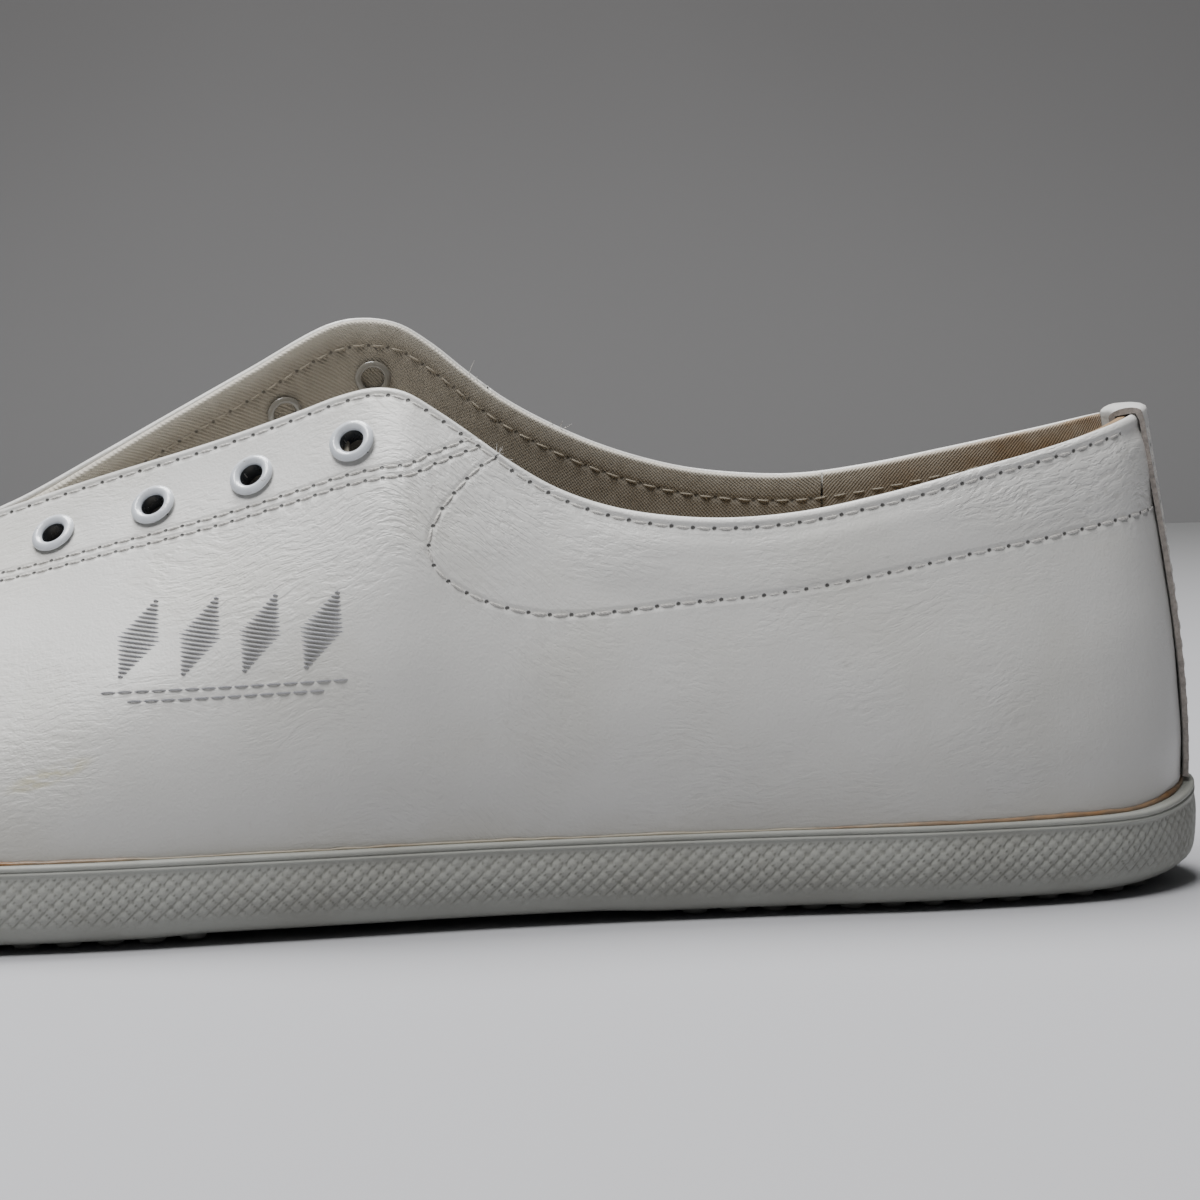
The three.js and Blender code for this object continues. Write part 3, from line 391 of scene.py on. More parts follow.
def shell(outer, inner, kept=None, joined_top=False, ring=False):
    """Points and faces of a closed sheet between two grids of points, columns x rows.
    kept says which cells stay. joined_top is a top row folded on itself, which needs no wall."""
    n, m = outer.shape[:2]
    cells_n = n if ring else n - 1
    kept = np.ones((cells_n, m - 1), bool) if kept is None else kept
    points = np.concatenate([outer.reshape(-1, 3), inner.reshape(-1, 3)])
    i, j = np.nonzero(kept)
    k = (i + 1) % n
    a, b, c, d = i * m + j, k * m + j, k * m + j + 1, i * m + j + 1
    faces = [np.stack([a, b, c, d], 1), np.stack([a, d, c, b], 1) + [n * m] * 4]
    pad = np.zeros((cells_n + 2, m + 1), bool)
    pad[1:-1, 1:-1] = kept
    if ring:
        pad[0], pad[-1] = pad[-2], pad[1]
    if joined_top:
        pad[:, -1] = True
    neighbour = [(0, -1, a, b), (1, 0, b, c), (0, 1, c, d), (-1, 0, d, a)]
    for di, dj, p, q in neighbour:
        edge = ~pad[1 + i + di, 1 + j + dj]
        p, q = p[edge], q[edge]
        faces.append(np.stack([p, p + n * m, q + n * m, q], 1))
    return points, np.concatenate(faces).tolist()


def sheet_uv(grid):
    """Distances in millimetres along the columns and up the rows of a grid, for both layers."""
    n, m = grid.shape[:2]
    along = np.linalg.norm(np.diff(grid[:, m // 2], axis=0), axis=-1)
    along = np.concatenate([[0], np.cumsum(along)])[:, None] + np.zeros((1, m))
    up = np.linalg.norm(np.diff(grid, axis=1), axis=-1)
    up = np.hstack([np.zeros((n, 1)), np.cumsum(up, 1)])
    pairs = np.stack([along, up - up[:, -1:]], -1).reshape(-1, 2)
    return np.concatenate([pairs, pairs])


# ---------------------------------------------------------------- seam lines
class Seam:
    """A line of stitches on the upper: its points, their normals and its length."""

    SAME_POINT = 0.01  # points closer than this are one
    BEYOND = 6  # a point further from the line than this isn't beside it
    BLOCK = 4000  # points looked up at a time

    def __init__(self, points, normals, pitch):
        apart = np.linalg.norm(np.diff(points, axis=0), axis=-1) > self.SAME_POINT
        kept = np.concatenate([[True], apart])
        points, normals = points[kept], normals[kept]
        gone = np.linalg.norm(np.diff(points, axis=0), axis=-1)
        self.arc = np.concatenate([[0], np.cumsum(gone)])
        self.length = self.arc[-1]
        self.pitch = self.length / max(1, round(self.length / pitch))
        self.points, self.normals = points, normals

    def at(self, distance, lift, aside):
        """Points at some distances along the line, lifted off it and moved aside."""
        look = lambda rows: np.stack([np.interp(distance, self.arc, c) for c in rows.T], -1)
        p, n = look(self.points), unit(look(self.normals))
        tangent = unit(np.gradient(self.points, self.arc, axis=0))
        across = np.cross(n, unit(look(tangent)))
        return p + n * lift[..., None] + across * aside[..., None]

    def uv(self, points):
        """Distance along and signed distance aside of points near the line."""
        a, b = self.points[:-1], self.points[1:]
        flat = points.reshape(-1, 3)
        pick = np.zeros(len(flat), int)
        middle = (a + b) / 2
        for start in range(0, len(flat), self.BLOCK):
            block = slice(start, start + self.BLOCK)
            gap = ((flat[block, None] - middle[None]) ** 2).sum(-1)
            pick[block] = gap.argmin(1)
        a, b = a[pick], b[pick]
        span = np.linalg.norm(b - a, axis=-1)
        t = unit(b - a)
        n = unit(self.normals[pick])
        along = ((flat - a) * t).sum(-1)
        side = ((flat - a) * np.cross(n, t)).sum(-1)
        at_end = (pick == 0) | (pick == len(self.arc) - 2)
        inside = np.where(at_end, along, np.clip(along, 0, span))
        off = np.linalg.norm(flat - a - t * along[:, None], axis=-1)
        off = np.where(off > self.BEYOND, off, 0)
        side = np.where(side < 0, -1, 1) * np.maximum(np.abs(side), off)
        return np.stack([self.arc[pick] + inside, side], -1)


ACROSS_STRANDS = np.array([0.31, 0.57, 0.76])  # a direction that no strand follows


def tubes(name, paths, radii, material, sides=7, body=SHOE):
    """Closed round strands, all with the same number of points: paths k x m x 3, radii m."""
    paths = np.asarray(paths, float)
    k, m = paths.shape[:2]
    tangent = unit(np.gradient(paths, axis=1))
    up = unit(np.cross(tangent, ACROSS_STRANDS))
    over = np.cross(tangent, up)
    turn = np.linspace(0, 2 * np.pi, sides, endpoint=False)
    ring = up[:, :, None] * np.cos(turn)[:, None] + over[:, :, None] * np.sin(turn)[:, None]
    radii = np.broadcast_to(radii, (k, m))
    grid = paths[:, :, None] + ring * radii[..., None, None]
    base = (np.arange(k) * m * sides)[:, None, None]
    i = np.arange(m - 1)[None, :, None] * sides
    j = np.arange(sides)[None, None, :]
    a = base + i + j
    b = base + i + (j + 1) % sides
    faces = np.stack([a, b, b + sides, a + sides], -1).reshape(-1, 4).tolist()
    for start in base.ravel():
        faces.append([int(start + c) for c in range(sides)][::-1])
        faces.append([int(start + (m - 1) * sides + c) for c in range(sides)])
    along = np.broadcast_to(np.arange(m)[None, :, None] / (m - 1), (k, m, sides))
    round_ = np.broadcast_to(np.arange(sides)[None, None, :] / sides, (k, m, sides))
    uv = np.stack([round_, along + np.arange(k)[:, None, None]], -1).reshape(-1, 2)
    mesh_object(name, grid.reshape(-1, 3), faces, {"strand": uv}, material, 60, body)


STITCH_PROFILE = np.array([-0.5, -0.46, -0.36, -0.18, 0, 0.18, 0.36, 0.46, 0.5])
STITCH_SKEW, SKEW_CHANGE = 0.09, 7.3  # how far stitches slant, and how that varies along a seam
EDGE_PITCH, DOUBLE_PITCH, STRIP_PITCH = 3.35, 2.8, 3.2


def stitch_paths(seam, aside=0.0, share=0.84, lift=0.08, sink=0.5):
    """One arched strand for each stitch of a seam."""
    count = round(seam.length / seam.pitch)
    middle = (np.arange(count) + 0.5) * seam.pitch
    d = middle[:, None] + STITCH_PROFILE * seam.pitch * share
    arch = 1 - (2 * np.abs(STITCH_PROFILE)) ** 4
    height = np.broadcast_to(-sink + (lift + sink) * arch, d.shape)
    skew = STITCH_SKEW * np.sin(middle * SKEW_CHANGE)[:, None] * STITCH_PROFILE * 2
    return seam.at(d, height, aside + skew)


# ---------------------------------------------------------------- materials
class Shader:
    """A node material. Textures are measured in millimetres, from uv layers or the row frame."""

    def __init__(self, name, **settings):
        self.material = bpy.data.materials.new(name)
        self.material.use_nodes = True
        self.nodes = self.material.node_tree.nodes
        self.links = self.material.node_tree.links
        self.principled = self.nodes["Principled BSDF"]
        for key, value in settings.items():
            self.principled.inputs[key.replace("_", " ")].default_value = value
        place = self.add("ShaderNodeTexCoord").outputs["Object"]
        self.place = self.vector("SCALE", place, scale=1 / MM)

    def add(self, kind, inputs=None, **props):
        node = self.nodes.new(kind)
        for key, value in props.items():
            setattr(node, key, value)
        for key, value in (inputs or {}).items():
            if isinstance(value, bpy.types.NodeSocket):
                self.links.new(value, node.inputs[key])
            elif value is not None:
                node.inputs[key].default_value = value
        return node

    def math(self, operation, a, b=None, c=None):
        return self.add("ShaderNodeMath", {0: a, 1: b, 2: c}, operation=operation).outputs[0]

    def squares(self, a, b):
        """a squared plus b squared."""
        return self.math("MULTIPLY_ADD", a, a, self.math("MULTIPLY", b, b))

    def oval(self, s, z, long, tall, slope=0.0):
        """Squared distance from an oval's middle on the shoe's side, 1 on its edge."""
        x, _, height = self.axes()
        ahead = self.math("SUBTRACT", x, HEEL_X - s)
        if slope:
            height = self.math("MULTIPLY_ADD", ahead, slope, height)
        up = self.math("DIVIDE", self.math("SUBTRACT", height, z), tall)
        return self.squares(self.math("DIVIDE", ahead, long), up)

    def vector(self, operation, a, b=None, scale=None):
        inputs = {0: a, 1: b, 3: scale}
        return self.add("ShaderNodeVectorMath", inputs, operation=operation).outputs[0]

    def axes(self):
        """The frame's x, y and z in millimetres."""
        return self.add("ShaderNodeSeparateXYZ", {0: self.place}).outputs

    def between(self, x, low, high, a=0.0, b=1.0):
        """Goes smoothly from a to b as x goes from low to high."""
        return self.add("ShaderNodeMapRange", {0: x, 1: low, 2: high, 3: a, 4: b},
                        interpolation_type="SMOOTHSTEP").outputs[0]

    def uv(self, layer):
        split = self.add("ShaderNodeSeparateXYZ",
                         {0: self.add("ShaderNodeUVMap", uv_map=layer).outputs[0]})
        return split.outputs[0], split.outputs[1]

    def pair(self, x, y, z=0.0):
        return self.add("ShaderNodeCombineXYZ", {0: x, 1: y, 2: z}).outputs[0]

    def noise(self, size, detail=2.0, where=None, stretch=None, rough=0.5):
        where = self.place if where is None else where
        if stretch:
            where = self.vector("MULTIPLY", where, stretch)
        node = self.add("ShaderNodeTexNoise", {"Vector": where, "Scale": 1 / size,
                                               "Detail": detail, "Roughness": rough})
        return node.outputs["Fac"]

    def drift(self, moved, place, size, detail, reach):
        """Moves points about by a slow noise of their places, so that nothing runs straight."""
        noise = self.add("ShaderNodeTexNoise", {"Vector": place, "Scale": 1 / size,
                                                "Detail": detail}).outputs["Color"]
        return self.vector("ADD", moved, self.vector("SCALE", noise, scale=reach))

    def cells(self, size):
        node = self.add("ShaderNodeTexVoronoi", {"Vector": self.place, "Scale": 1 / size},
                        feature="DISTANCE_TO_EDGE")
        return node.outputs["Distance"]

    def mix(self, factor, a, b):
        node = self.add("ShaderNodeMix", data_type="RGBA")
        for socket, value in zip(("Factor_Float", "A_Color", "B_Color"), (factor, a, b)):
            target = next(s for s in node.inputs if s.identifier == socket)
            if isinstance(value, bpy.types.NodeSocket):
                self.links.new(value, target)
            else:
                target.default_value = value if np.isscalar(value) else (*value, 1)[:4]
        return next(s for s in node.outputs if s.identifier == "Result_Color")

    def total(self, parts):
        """Sum of [height, millimetres] pairs."""
        made = None
        for value, size in parts:
            made = self.math("MULTIPLY", value, size) if made is None else \
                self.math("MULTIPLY_ADD", value, size, made)
        return made

    def finish(self, color, roughness, height=None):
        self.links.new(color, self.principled.inputs["Base Color"])
        if isinstance(roughness, bpy.types.NodeSocket):
            self.links.new(roughness, self.principled.inputs["Roughness"])
        else:
            self.principled.inputs["Roughness"].default_value = roughness
        if height is not None:
            node = self.add("ShaderNodeBump", {"Strength": 1.0, "Distance": MM, "Height": height})
            self.links.new(node.outputs[0], self.principled.inputs["Normal"])
        return self.material


GROOVE_WIDTH, HOLE_RADII, SEAM_END = (0.1, 1.0), (0.16, 0.40), 0.3


def stitched(sh, seams):
    """Groove and needle holes of seams: (uv layer, pitch, length, offsets of the rows)."""
    groove = hole = None
    for layer, pitch, length, rows in seams:
        along, aside = sh.uv(layer)
        inside = sh.math("MULTIPLY", sh.between(along, -SEAM_END, SEAM_END),
                         sh.between(along, length - SEAM_END, length + SEAM_END, 1.0, 0.0))
        spot = sh.math("PINGPONG", along, pitch / 2)
        for row in rows:
            away = sh.math("ABSOLUTE", sh.math("SUBTRACT", aside, row))
            dip = sh.math("MULTIPLY", sh.between(away, *GROOVE_WIDTH, 1.0, 0.0), inside)
            round_ = sh.between(sh.math("SQRT", sh.squares(spot, away)), *HOLE_RADII, 1.0, 0.0)
            prick = sh.math("MULTIPLY", inside, round_)
            groove = dip if groove is None else sh.math("MAXIMUM", groove, dip)
            hole = prick if hole is None else sh.math("MAXIMUM", hole, prick)
    return groove, hole


WHITE_LEATHER, OFF_WHITE = (0.66, 0.652, 0.628), (0.93, 0.925, 0.90)
# The second colour here is painted shade, darkening the leather towards the sole.
YELLOWED, PAINTED_LOW_SHADE = (0.50, 0.455, 0.36), (0.36, 0.355, 0.345)
# The second colour here is painted shade in the needle holes.
GRIME, NEEDLE_HOLE_SHADE = (0.20, 0.175, 0.14), (0.03, 0.028, 0.026)
CUT_FIBRE = (0.20, 0.18, 0.165), (0.34, 0.30, 0.27)
# Finely wrinkled areas: s, z, half length, half height and strength.
WORN_PLACES = [(24, 66, 26, 8, 1.0), (120, 66, 20, 11, 1.0), (150, 58, 26, 12, 0.6),
               (96, 58, 12, 6, 0.5)]
SMEAR, SMEAR_SLOPE, SMEAR_TINT = (181, 26.5, 6.5, 1.5), -0.32, (0.42, 0.38, 0.20)


def shaded(color, share):
    """A darker or lighter colour."""
    return tuple(c * share for c in color)


def leather(name, seams=(), wrinkles=1.0, glue=True, raw=False, smear=False):
    """White leather: pebbled grain, fine wrinkles where it bends, specks of grime and darker
    valleys in the wrinkles, painted shade in the needle holes and towards the sole. raw is for a
    piece with cut edges, and smear for the one with a faint stroke on its side."""
    sh = Shader(name, Specular_IOR_Level=0.5, Coat_Weight=0.22, Coat_Roughness=0.32)
    along, up = sh.uv("sheet")
    sheet = sh.pair(along, up)
    height = sh.axes()[2]
    smudge = sh.noise(9, 4, rough=0.65)
    color = sh.mix(sh.between(sh.noise(26, 3), 0.42, 0.72), WHITE_LEATHER,
                   tuple(c * k for c, k in zip(WHITE_LEATHER, OFF_WHITE)))
    color = sh.mix(sh.between(smudge, 0.6, 0.82, 0.0, 0.14), color, YELLOWED)
    color = sh.mix(sh.between(sh.noise(1.6, 2), 0.66, 0.8, 0.0, 0.12), color, GRIME)
    if glue:
        rise = sh.math("MULTIPLY_ADD", sh.noise(14, 3), 14.0, 11.0)
        low = sh.between(sh.math("SUBTRACT", height, rise), -5.0, 3.0, 0.3, 0.0)
        color = sh.mix(low, color, YELLOWED)
    # Painted shade: the leather gets darker towards the sole, from a height of 52 mm down to 16 mm.
    color = sh.mix(sh.between(height, 16, 52, 0.46, 0.0), color, PAINTED_LOW_SHADE)
    worn = sh.between(sh.noise(24, 3, rough=0.6), 0.42, 0.62, 0.0, 0.35)
    for *place, share in WORN_PLACES:
        worn = sh.math("MAXIMUM", worn, sh.between(sh.oval(*place), 0.1, 1.5, share, 0.0))
    wander = sh.drift(sh.drift(sheet, sheet, 6.25, 2.0, 1.0), sheet, 20, 1.0, 9.0)
    crease = sh.noise(0.85, 2, wander, (0.34, 1.0, 1.0), 0.55)
    lined = sh.math("MULTIPLY", sh.between(crease, 0.36, 0.58), worn)
    fold = sh.math("MULTIPLY", sh.noise(3.6, 2, wander, (0.45, 1.0, 1.0)), worn)
    # Darker in the valleys of the fine creases.
    crease_valley_dark = sh.math("MULTIPLY", worn, sh.between(crease, 0.30, 0.42, 0.22, 0.0))
    color = sh.mix(crease_valley_dark, color, GRIME)
    parts = [(lined, 0.11 * wrinkles), (fold, 0.16 * wrinkles), (sh.cells(0.75), 0.045),
             (sh.noise(1.3, 2), 0.05), (sh.noise(0.3, 1), 0.015)]
    if smear:
        inside = sh.between(sh.oval(*SMEAR, SMEAR_SLOPE), 0.0, 1.4, 0.6, 0.0)
        patchy = sh.between(sh.noise(1.1, 3, stretch=(0.4, 1.0, 1.0)), 0.35, 0.6)
        color = sh.mix(sh.math("MULTIPLY", inside, patchy), color, SMEAR_TINT)
    if seams:
        groove, hole = stitched(sh, seams)
        # Painted shade: the needle holes are coloured near black.
        color = sh.mix(sh.math("MULTIPLY", hole, 0.92), color, NEEDLE_HOLE_SHADE)
        parts += [(groove, -0.16), (hole, -0.4)]
    if raw:
        fibre = sh.mix(sh.between(sh.noise(0.8, 3, rough=0.7), 0.3, 0.7), *CUT_FIBRE)
        color = sh.mix(sh.between(sh.uv("raw")[0], 0.35, 0.75), color, fibre)
    roughness = sh.between(smudge, 0.3, 0.7, 0.36, 0.48)
    return sh.finish(color, roughness, sh.total(parts))


RIB, WEFT = 0.36, 0.3  # half the spacing of the twill's ribs, and of the threads across them
# Painted shade in the lining's needle holes.
LINING_HOLE_SHADE = (0.06, 0.05, 0.035)


def twill(name, color, fuzz=None, stain=None, seams=()):
    """Woven lining with slanting ribs. fuzz colours a paler band along the top edge, and stain
    is a tint, with the x where it starts and the x where it is full."""
    sh = Shader(name, Specular_IOR_Level=0.15, Sheen_Weight=0.25, Sheen_Roughness=0.6)
    along, up = sh.uv("sheet")
    slant = sh.math("ADD", along, up)
    rib = sh.math("PINGPONG", sh.math("MULTIPLY_ADD", sh.noise(5, 2), 0.4, slant), RIB)
    rib = sh.math("DIVIDE", rib, RIB)
    cross = sh.math("DIVIDE", sh.math("PINGPONG", sh.math("SUBTRACT", along, up), WEFT), WEFT)
    hair = sh.noise(0.3, 3, rough=0.7)
    dark = shaded(color, 0.74)
    made = sh.mix(sh.between(rib, 0.1, 0.8), dark, color)
    made = sh.mix(sh.between(hair, 0.35, 0.7, 0.0, 0.35), made, shaded(color, 1.25))
    made = sh.mix(sh.between(sh.noise(12, 4, rough=0.6), 0.4, 0.75, 0.0, 0.35), made, dark)
    if fuzz:
        edge = sh.math("MULTIPLY_ADD", sh.noise(2.2, 3), 1.8, up)
        band = sh.between(edge, -3.4, 0.6, 0.0, 0.85)
        made = sh.mix(band, made, fuzz)
    if stain:
        tint, first, full = stain
        growth = sh.between(sh.axes()[0], first, full, 0.12, 1.0)
        patch = sh.between(sh.noise(16, 4, rough=0.6), 0.36, 0.62, 0.35, 0.9)
        made = sh.mix(sh.math("MULTIPLY", growth, patch), made, tint)
    parts = [(rib, 0.12), (cross, 0.04), (hair, 0.12), (sh.noise(7, 2), 0.8)]
    if seams:
        groove, hole = stitched(sh, seams)
        # Painted shade: darker along the seam's groove, and near black in its needle holes.
        made = sh.mix(sh.math("MULTIPLY", groove, 0.25), made, dark)
        made = sh.mix(sh.math("MULTIPLY", hole, 0.7), made, LINING_HOLE_SHADE)
        parts += [(groove, -0.2), (hole, -0.2)]
    return sh.finish(made, 0.92, sh.total(parts))


RUBBER_LIGHT, RUBBER_DARK = (0.36, 0.365, 0.335), (0.315, 0.315, 0.285)
# The first colour here is painted shade in the knurl's grooves.
KNURL_GROOVE_SHADE, RUBBER_DUST = (0.17, 0.165, 0.14), (0.30, 0.28, 0.235)
# Colour of the rubber's darker bottom.
LOW_RUBBER_TONE = (0.12, 0.115, 0.11)


def rubber(name):
    """Slightly greenish off-white rubber with dust, painted shade in the grooves of its knurled
    pattern, and darker towards its bottom.
    """
    sh = Shader(name, Specular_IOR_Level=0.35)
    patch, dust, fine = sh.noise(22, 3), sh.noise(3.5, 4, rough=0.7), sh.noise(0.35, 2)
    color = sh.mix(sh.between(patch, 0.35, 0.7), RUBBER_LIGHT, RUBBER_DARK)
    # Painted shade in the grooves and pits of the knurling.
    color = sh.mix(sh.between(sh.uv("relief")[0], 0.0, 0.7, 0.42, 0.0), color, KNURL_GROOVE_SHADE)
    color = sh.mix(sh.between(dust, 0.55, 0.8, 0.0, 0.25), color, RUBBER_DUST)
    # Darker towards the bottom, below a height of 3.2 mm.
    color = sh.mix(sh.between(sh.axes()[2], 0.0, 3.2, 0.45, 0.0), color, LOW_RUBBER_TONE)
    return sh.finish(color, sh.between(dust, 0.3, 0.8, 0.5, 0.72),
                     sh.total([(fine, 0.05), (dust, 0.05)]))


def thread(name, color, twist=3.0, shine=0.35):
    """Twisted thread, with twist turns of its plies along a stitch."""
    sh = Shader(name, Specular_IOR_Level=0.4, Sheen_Weight=shine, Sheen_Roughness=0.4)
    around, along = sh.uv("strand")
    ply = sh.math("PINGPONG", sh.math("MULTIPLY_ADD", along, twist, around), 0.25)
    ply = sh.math("MULTIPLY", ply, 4.0)
    made = sh.mix(ply, shaded(color, 0.8), color)
    made = sh.mix(sh.between(sh.noise(6, 3), 0.45, 0.75, 0.0, 0.2), made, GRIME)
    return sh.finish(made, 0.6, sh.total([(ply, 0.05), (sh.noise(0.15, 2), 0.03)]))


ENAMEL_LIGHT, ENAMEL_DARK, CHIPPED = (0.70, 0.73, 0.77), (0.62, 0.65, 0.69), (0.33, 0.29, 0.24)
# The first colour here is painted shade in the eyelets' bores.
BORE_SHADE, METAL_BACK = (0.05, 0.055, 0.062), (0.22, 0.205, 0.175)


def enamel(name):
    """White enamel over metal, chipped a little on the edges, with painted shade in the bore, and
    bare behind.
    """
    sh = Shader(name, Specular_IOR_Level=0.6, Coat_Weight=0.6, Coat_Roughness=0.12)
    wear = sh.noise(0.9, 4, rough=0.7)
    edge, inner = sh.uv("sheet")
    chip = sh.math("MULTIPLY", sh.between(wear, 0.62, 0.7), sh.between(edge, 0.55, 0.8))
    color = sh.mix(sh.between(sh.noise(2.5, 2), 0.3, 0.7), ENAMEL_LIGHT, ENAMEL_DARK)
    color = sh.mix(chip, color, CHIPPED)
    # Painted shade: the bore is coloured near black.
    color = sh.mix(sh.between(inner, 0.1, 0.9), color, BORE_SHADE)
    color = sh.mix(sh.between(inner, 1.1, 1.6), color, METAL_BACK)
    return sh.finish(color, sh.between(wear, 0.3, 0.8, 0.16, 0.34),
                     sh.total([(chip, -0.05), (sh.noise(0.5, 2), 0.015)]))


def plain_fibre(name, color):
    """Pressed fibre: boards, counters and stiffening sheets inside the shoe."""
    sh = Shader(name, Specular_IOR_Level=0.2)
    fleck = sh.noise(0.6, 4, rough=0.7)
    made = sh.mix(sh.between(fleck, 0.3, 0.7), shaded(color, 0.75), color)
    made = sh.mix(sh.between(sh.noise(11, 3), 0.4, 0.7, 0.0, 0.3), made, GRIME)
    return sh.finish(made, 0.9, sh.total([(fleck, 0.12)]))


# ---------------------------------------------------------------- patches of the upper
def strip_line(side, qs, vs, pitch, depth=0.0):
    """A seam along points (q, v) of one side."""
    vs = np.broadcast_to(vs, np.shape(qs))
    return Seam(at_depth(side, qs, vs, np.full(len(qs), depth)), normal(side, qs, vs), pitch)


def spread(side, q0, q1, step, v=0.75):
    """Places between two q, about step millimetres apart at height v."""
    q = np.linspace(q0, q1, 500)
    p = surface(side, q, np.full(500, v))
    arc = np.concatenate([[0], np.cumsum(np.linalg.norm(np.diff(p, axis=0), axis=-1))])
    return np.interp(np.linspace(0, arc[-1], max(3, int(arc[-1] / step))), arc, q)


def waves(p, size, seed, count=7):
    """Smooth uneven ground between -1 and 1 over points, with bumps about size long."""
    rng = np.random.default_rng(seed)
    ways = unit(rng.normal(size=(count, 3)))
    lengths = size * rng.uniform(0.7, 1.6, count)
    phases = rng.uniform(0, 2 * np.pi, count)
    each = (np.sin(2 * np.pi * (p @ w) / n + f) for w, n, f in zip(ways, lengths, phases))
    return sum(each) / count


THROAT_TRIM = 2.1  # how much shorter the side pieces are towards the throat
GRID = 1.3  # spacing of the leather's grid


def round_edge(half, distance, radius):
    """Half a sheet's thickness at some distances in from its rounded edge."""
    return half * np.sqrt(np.clip(1 - (1 - np.clip(distance / radius, 0, 1)) ** 2, 0, 1))


def edge_rows(side, q, steps, low_count):
    """v for rows at some distances under the top edge, then even rows down to the sole.
    Returns v and the distance from the top edge, rows running from the sole upwards."""
    s = station(feather, q)
    cut = THROAT_TRIM * ease((s - THROAT + 14) / 10)
    total = v_down(side, q, np.zeros(1))[1]
    start = cut[:, None] + np.array(steps, float)
    rest = np.linspace(0, 1, low_count + 1)[1:]
    lower = start[:, -1:] + (total[:, None] - start[:, -1:]) * rest[None]
    distance = np.hstack([start, lower])
    v = v_down(side, q, distance)[0]
    return v[:, ::-1], (distance - cut[:, None])[:, ::-1]


# Distances of the leather's rows under the top edge, close where the edge is turned in.
TOP_STEPS = [0, 0.06, 0.2, 0.42, 0.7, 1.05, 1.4, 1.8, 2.2, 2.6, 3.0, 3.5, 4.2, 5.2, 6.4, 7.6, 8.8,
             10, 11.2, 12.4, 13.6, 14.8, 16, 17.2, 18.4, 19.6, 21]
EDGE_ROOM, EDGE_ROUND = 0.9, 1.1  # room left for the lining's raw edge, and the edge's radius


def edge_room(distance):
    """Share of the lining's room at some distances under the top edge."""
    return ease((2.2 - distance) / 1.4)


def rolled(distance, fold):
    """Depths of the outer and inner faces of leather turned in on itself."""
    room = EDGE_ROOM * (fold - LEATHER) / (FOLD - LEATHER)
    r = np.minimum((fold - room) / 2, EDGE_ROUND)
    d = np.clip(distance, 0, r)
    turn = r - np.sqrt(np.maximum(r * r - (r - d) ** 2, 0))
    outer = turn - 0.22 * bump(distance, 1.1, 0.55)
    inner = fold - (fold - LEATHER) * ease((distance - 2.8) / 0.9) - turn
    inner -= room * edge_room(distance)
    return outer, np.maximum(inner, outer)


QUARTER_FRONT = 221  # the quarters' front edge, sewn over the vamp
LAP = LEATHER + 0.12  # how far the quarters stand out there
DENT = 0.3


def leather_dents(p):
    """Shallow unevenness of the leather, outwards."""
    return DENT * waves(p, 34, 3) + 0.5 * DENT * waves(p, 13, 4)


def collar_swell(distance, s):
    """Softly padded band between the top edge and the sewn line of the collar."""
    return 0.55 * ease((distance - 2.2) / 3) * ease((15 - distance) / 6) * ease((106 - s) / 14)


EYELET_BORE, EYELET_WALL, EYELET_RADIUS, EYELET_HEIGHT = 1.95, 0.3, 3.7, 0.9
EYELET_CURL, EYELET_SEAT = 3.1, 0.35
LEATHER_HOLE, LINING_HOLE_RADIUS = 2.7, 2.6


def eyelet_places(side):
    """Where the eyelets stand, and which way they face."""
    q = q_at(EYELET_FIRST + EYELET_STEP * np.arange(EYELET_PAIRS))
    v = under_edge(side, q, EYELET_EDGE)
    return surface(side, q, v), normal(side, q, v)


def without_holes(outer, side, radius):
    """Which cells of a grid stay after the eyelets' holes are cut."""
    middle = (outer[:-1, :-1] + outer[1:, :-1] + outer[1:, 1:] + outer[:-1, 1:]) / 4
    kept = np.ones(middle.shape[:2], bool)
    for place in eyelet_places(side)[0]:
        kept &= np.linalg.norm(middle - place, axis=-1) > radius
    return kept


# Lines of stitches on each side, shared by the leather and the threads.
EDGE_SEAM_DROP, LINING_SEAM_DROP = 1.9, 4.3
COLLAR_SEAM = [(5, 61.4), (25, 57.5), (40, 55), (55, 52.2), (70, 50), (85, 49), (98, 47.9),
               (106, 48.0), (113, 49.6), (119, 52.4), (122.6, 55.6), (123.6, 59), (122.4, 63),
               (119.5, 67), (116, 70.5), (112.8, 72.6)]


def collar_seam(side):
    """Runs forward under the collar and turns up to the top edge in front of it."""
    table = dense([(s, 0, z) for s, z in COLLAR_SEAM], False, 260)
    s, z = table[:, 0], table[:, 2]
    if side == "medial":
        z = z + 5.5 * ease((s - 60) / 50) * ease((z - 52) / 14)
    q = q_at(s)
    for _ in range(8):
        v = v_height(side, q, z)
        q = q_at(2 * s - surface(side, q, v)[:, 0] + station(feather, q) - s)
    return strip_line(side, q, np.minimum(v, 0.985), EDGE_PITCH)


def under_edge(side, q, distance):
    """v at one distance under the top edge, or at one for each column."""
    return v_down(side, q, np.broadcast_to(distance, len(q))[:, None])[0][:, 0]


def edge_seam(side):
    """Follows the top edge."""
    q = spread(side, q_at(205), q_at(10), 1.0, 1.0)
    return strip_line(side, q, under_edge(side, q, EDGE_SEAM_DROP), EDGE_PITCH)


def front_seam(side):
    """Middle of the double seam that holds the quarter's front edge on the vamp."""
    q = np.full(120, q_at(QUARTER_FRONT - 2.9))
    v = np.linspace(0.2, 0.955, 120)
    return strip_line(side, q, v, DOUBLE_PITCH, -LAP)


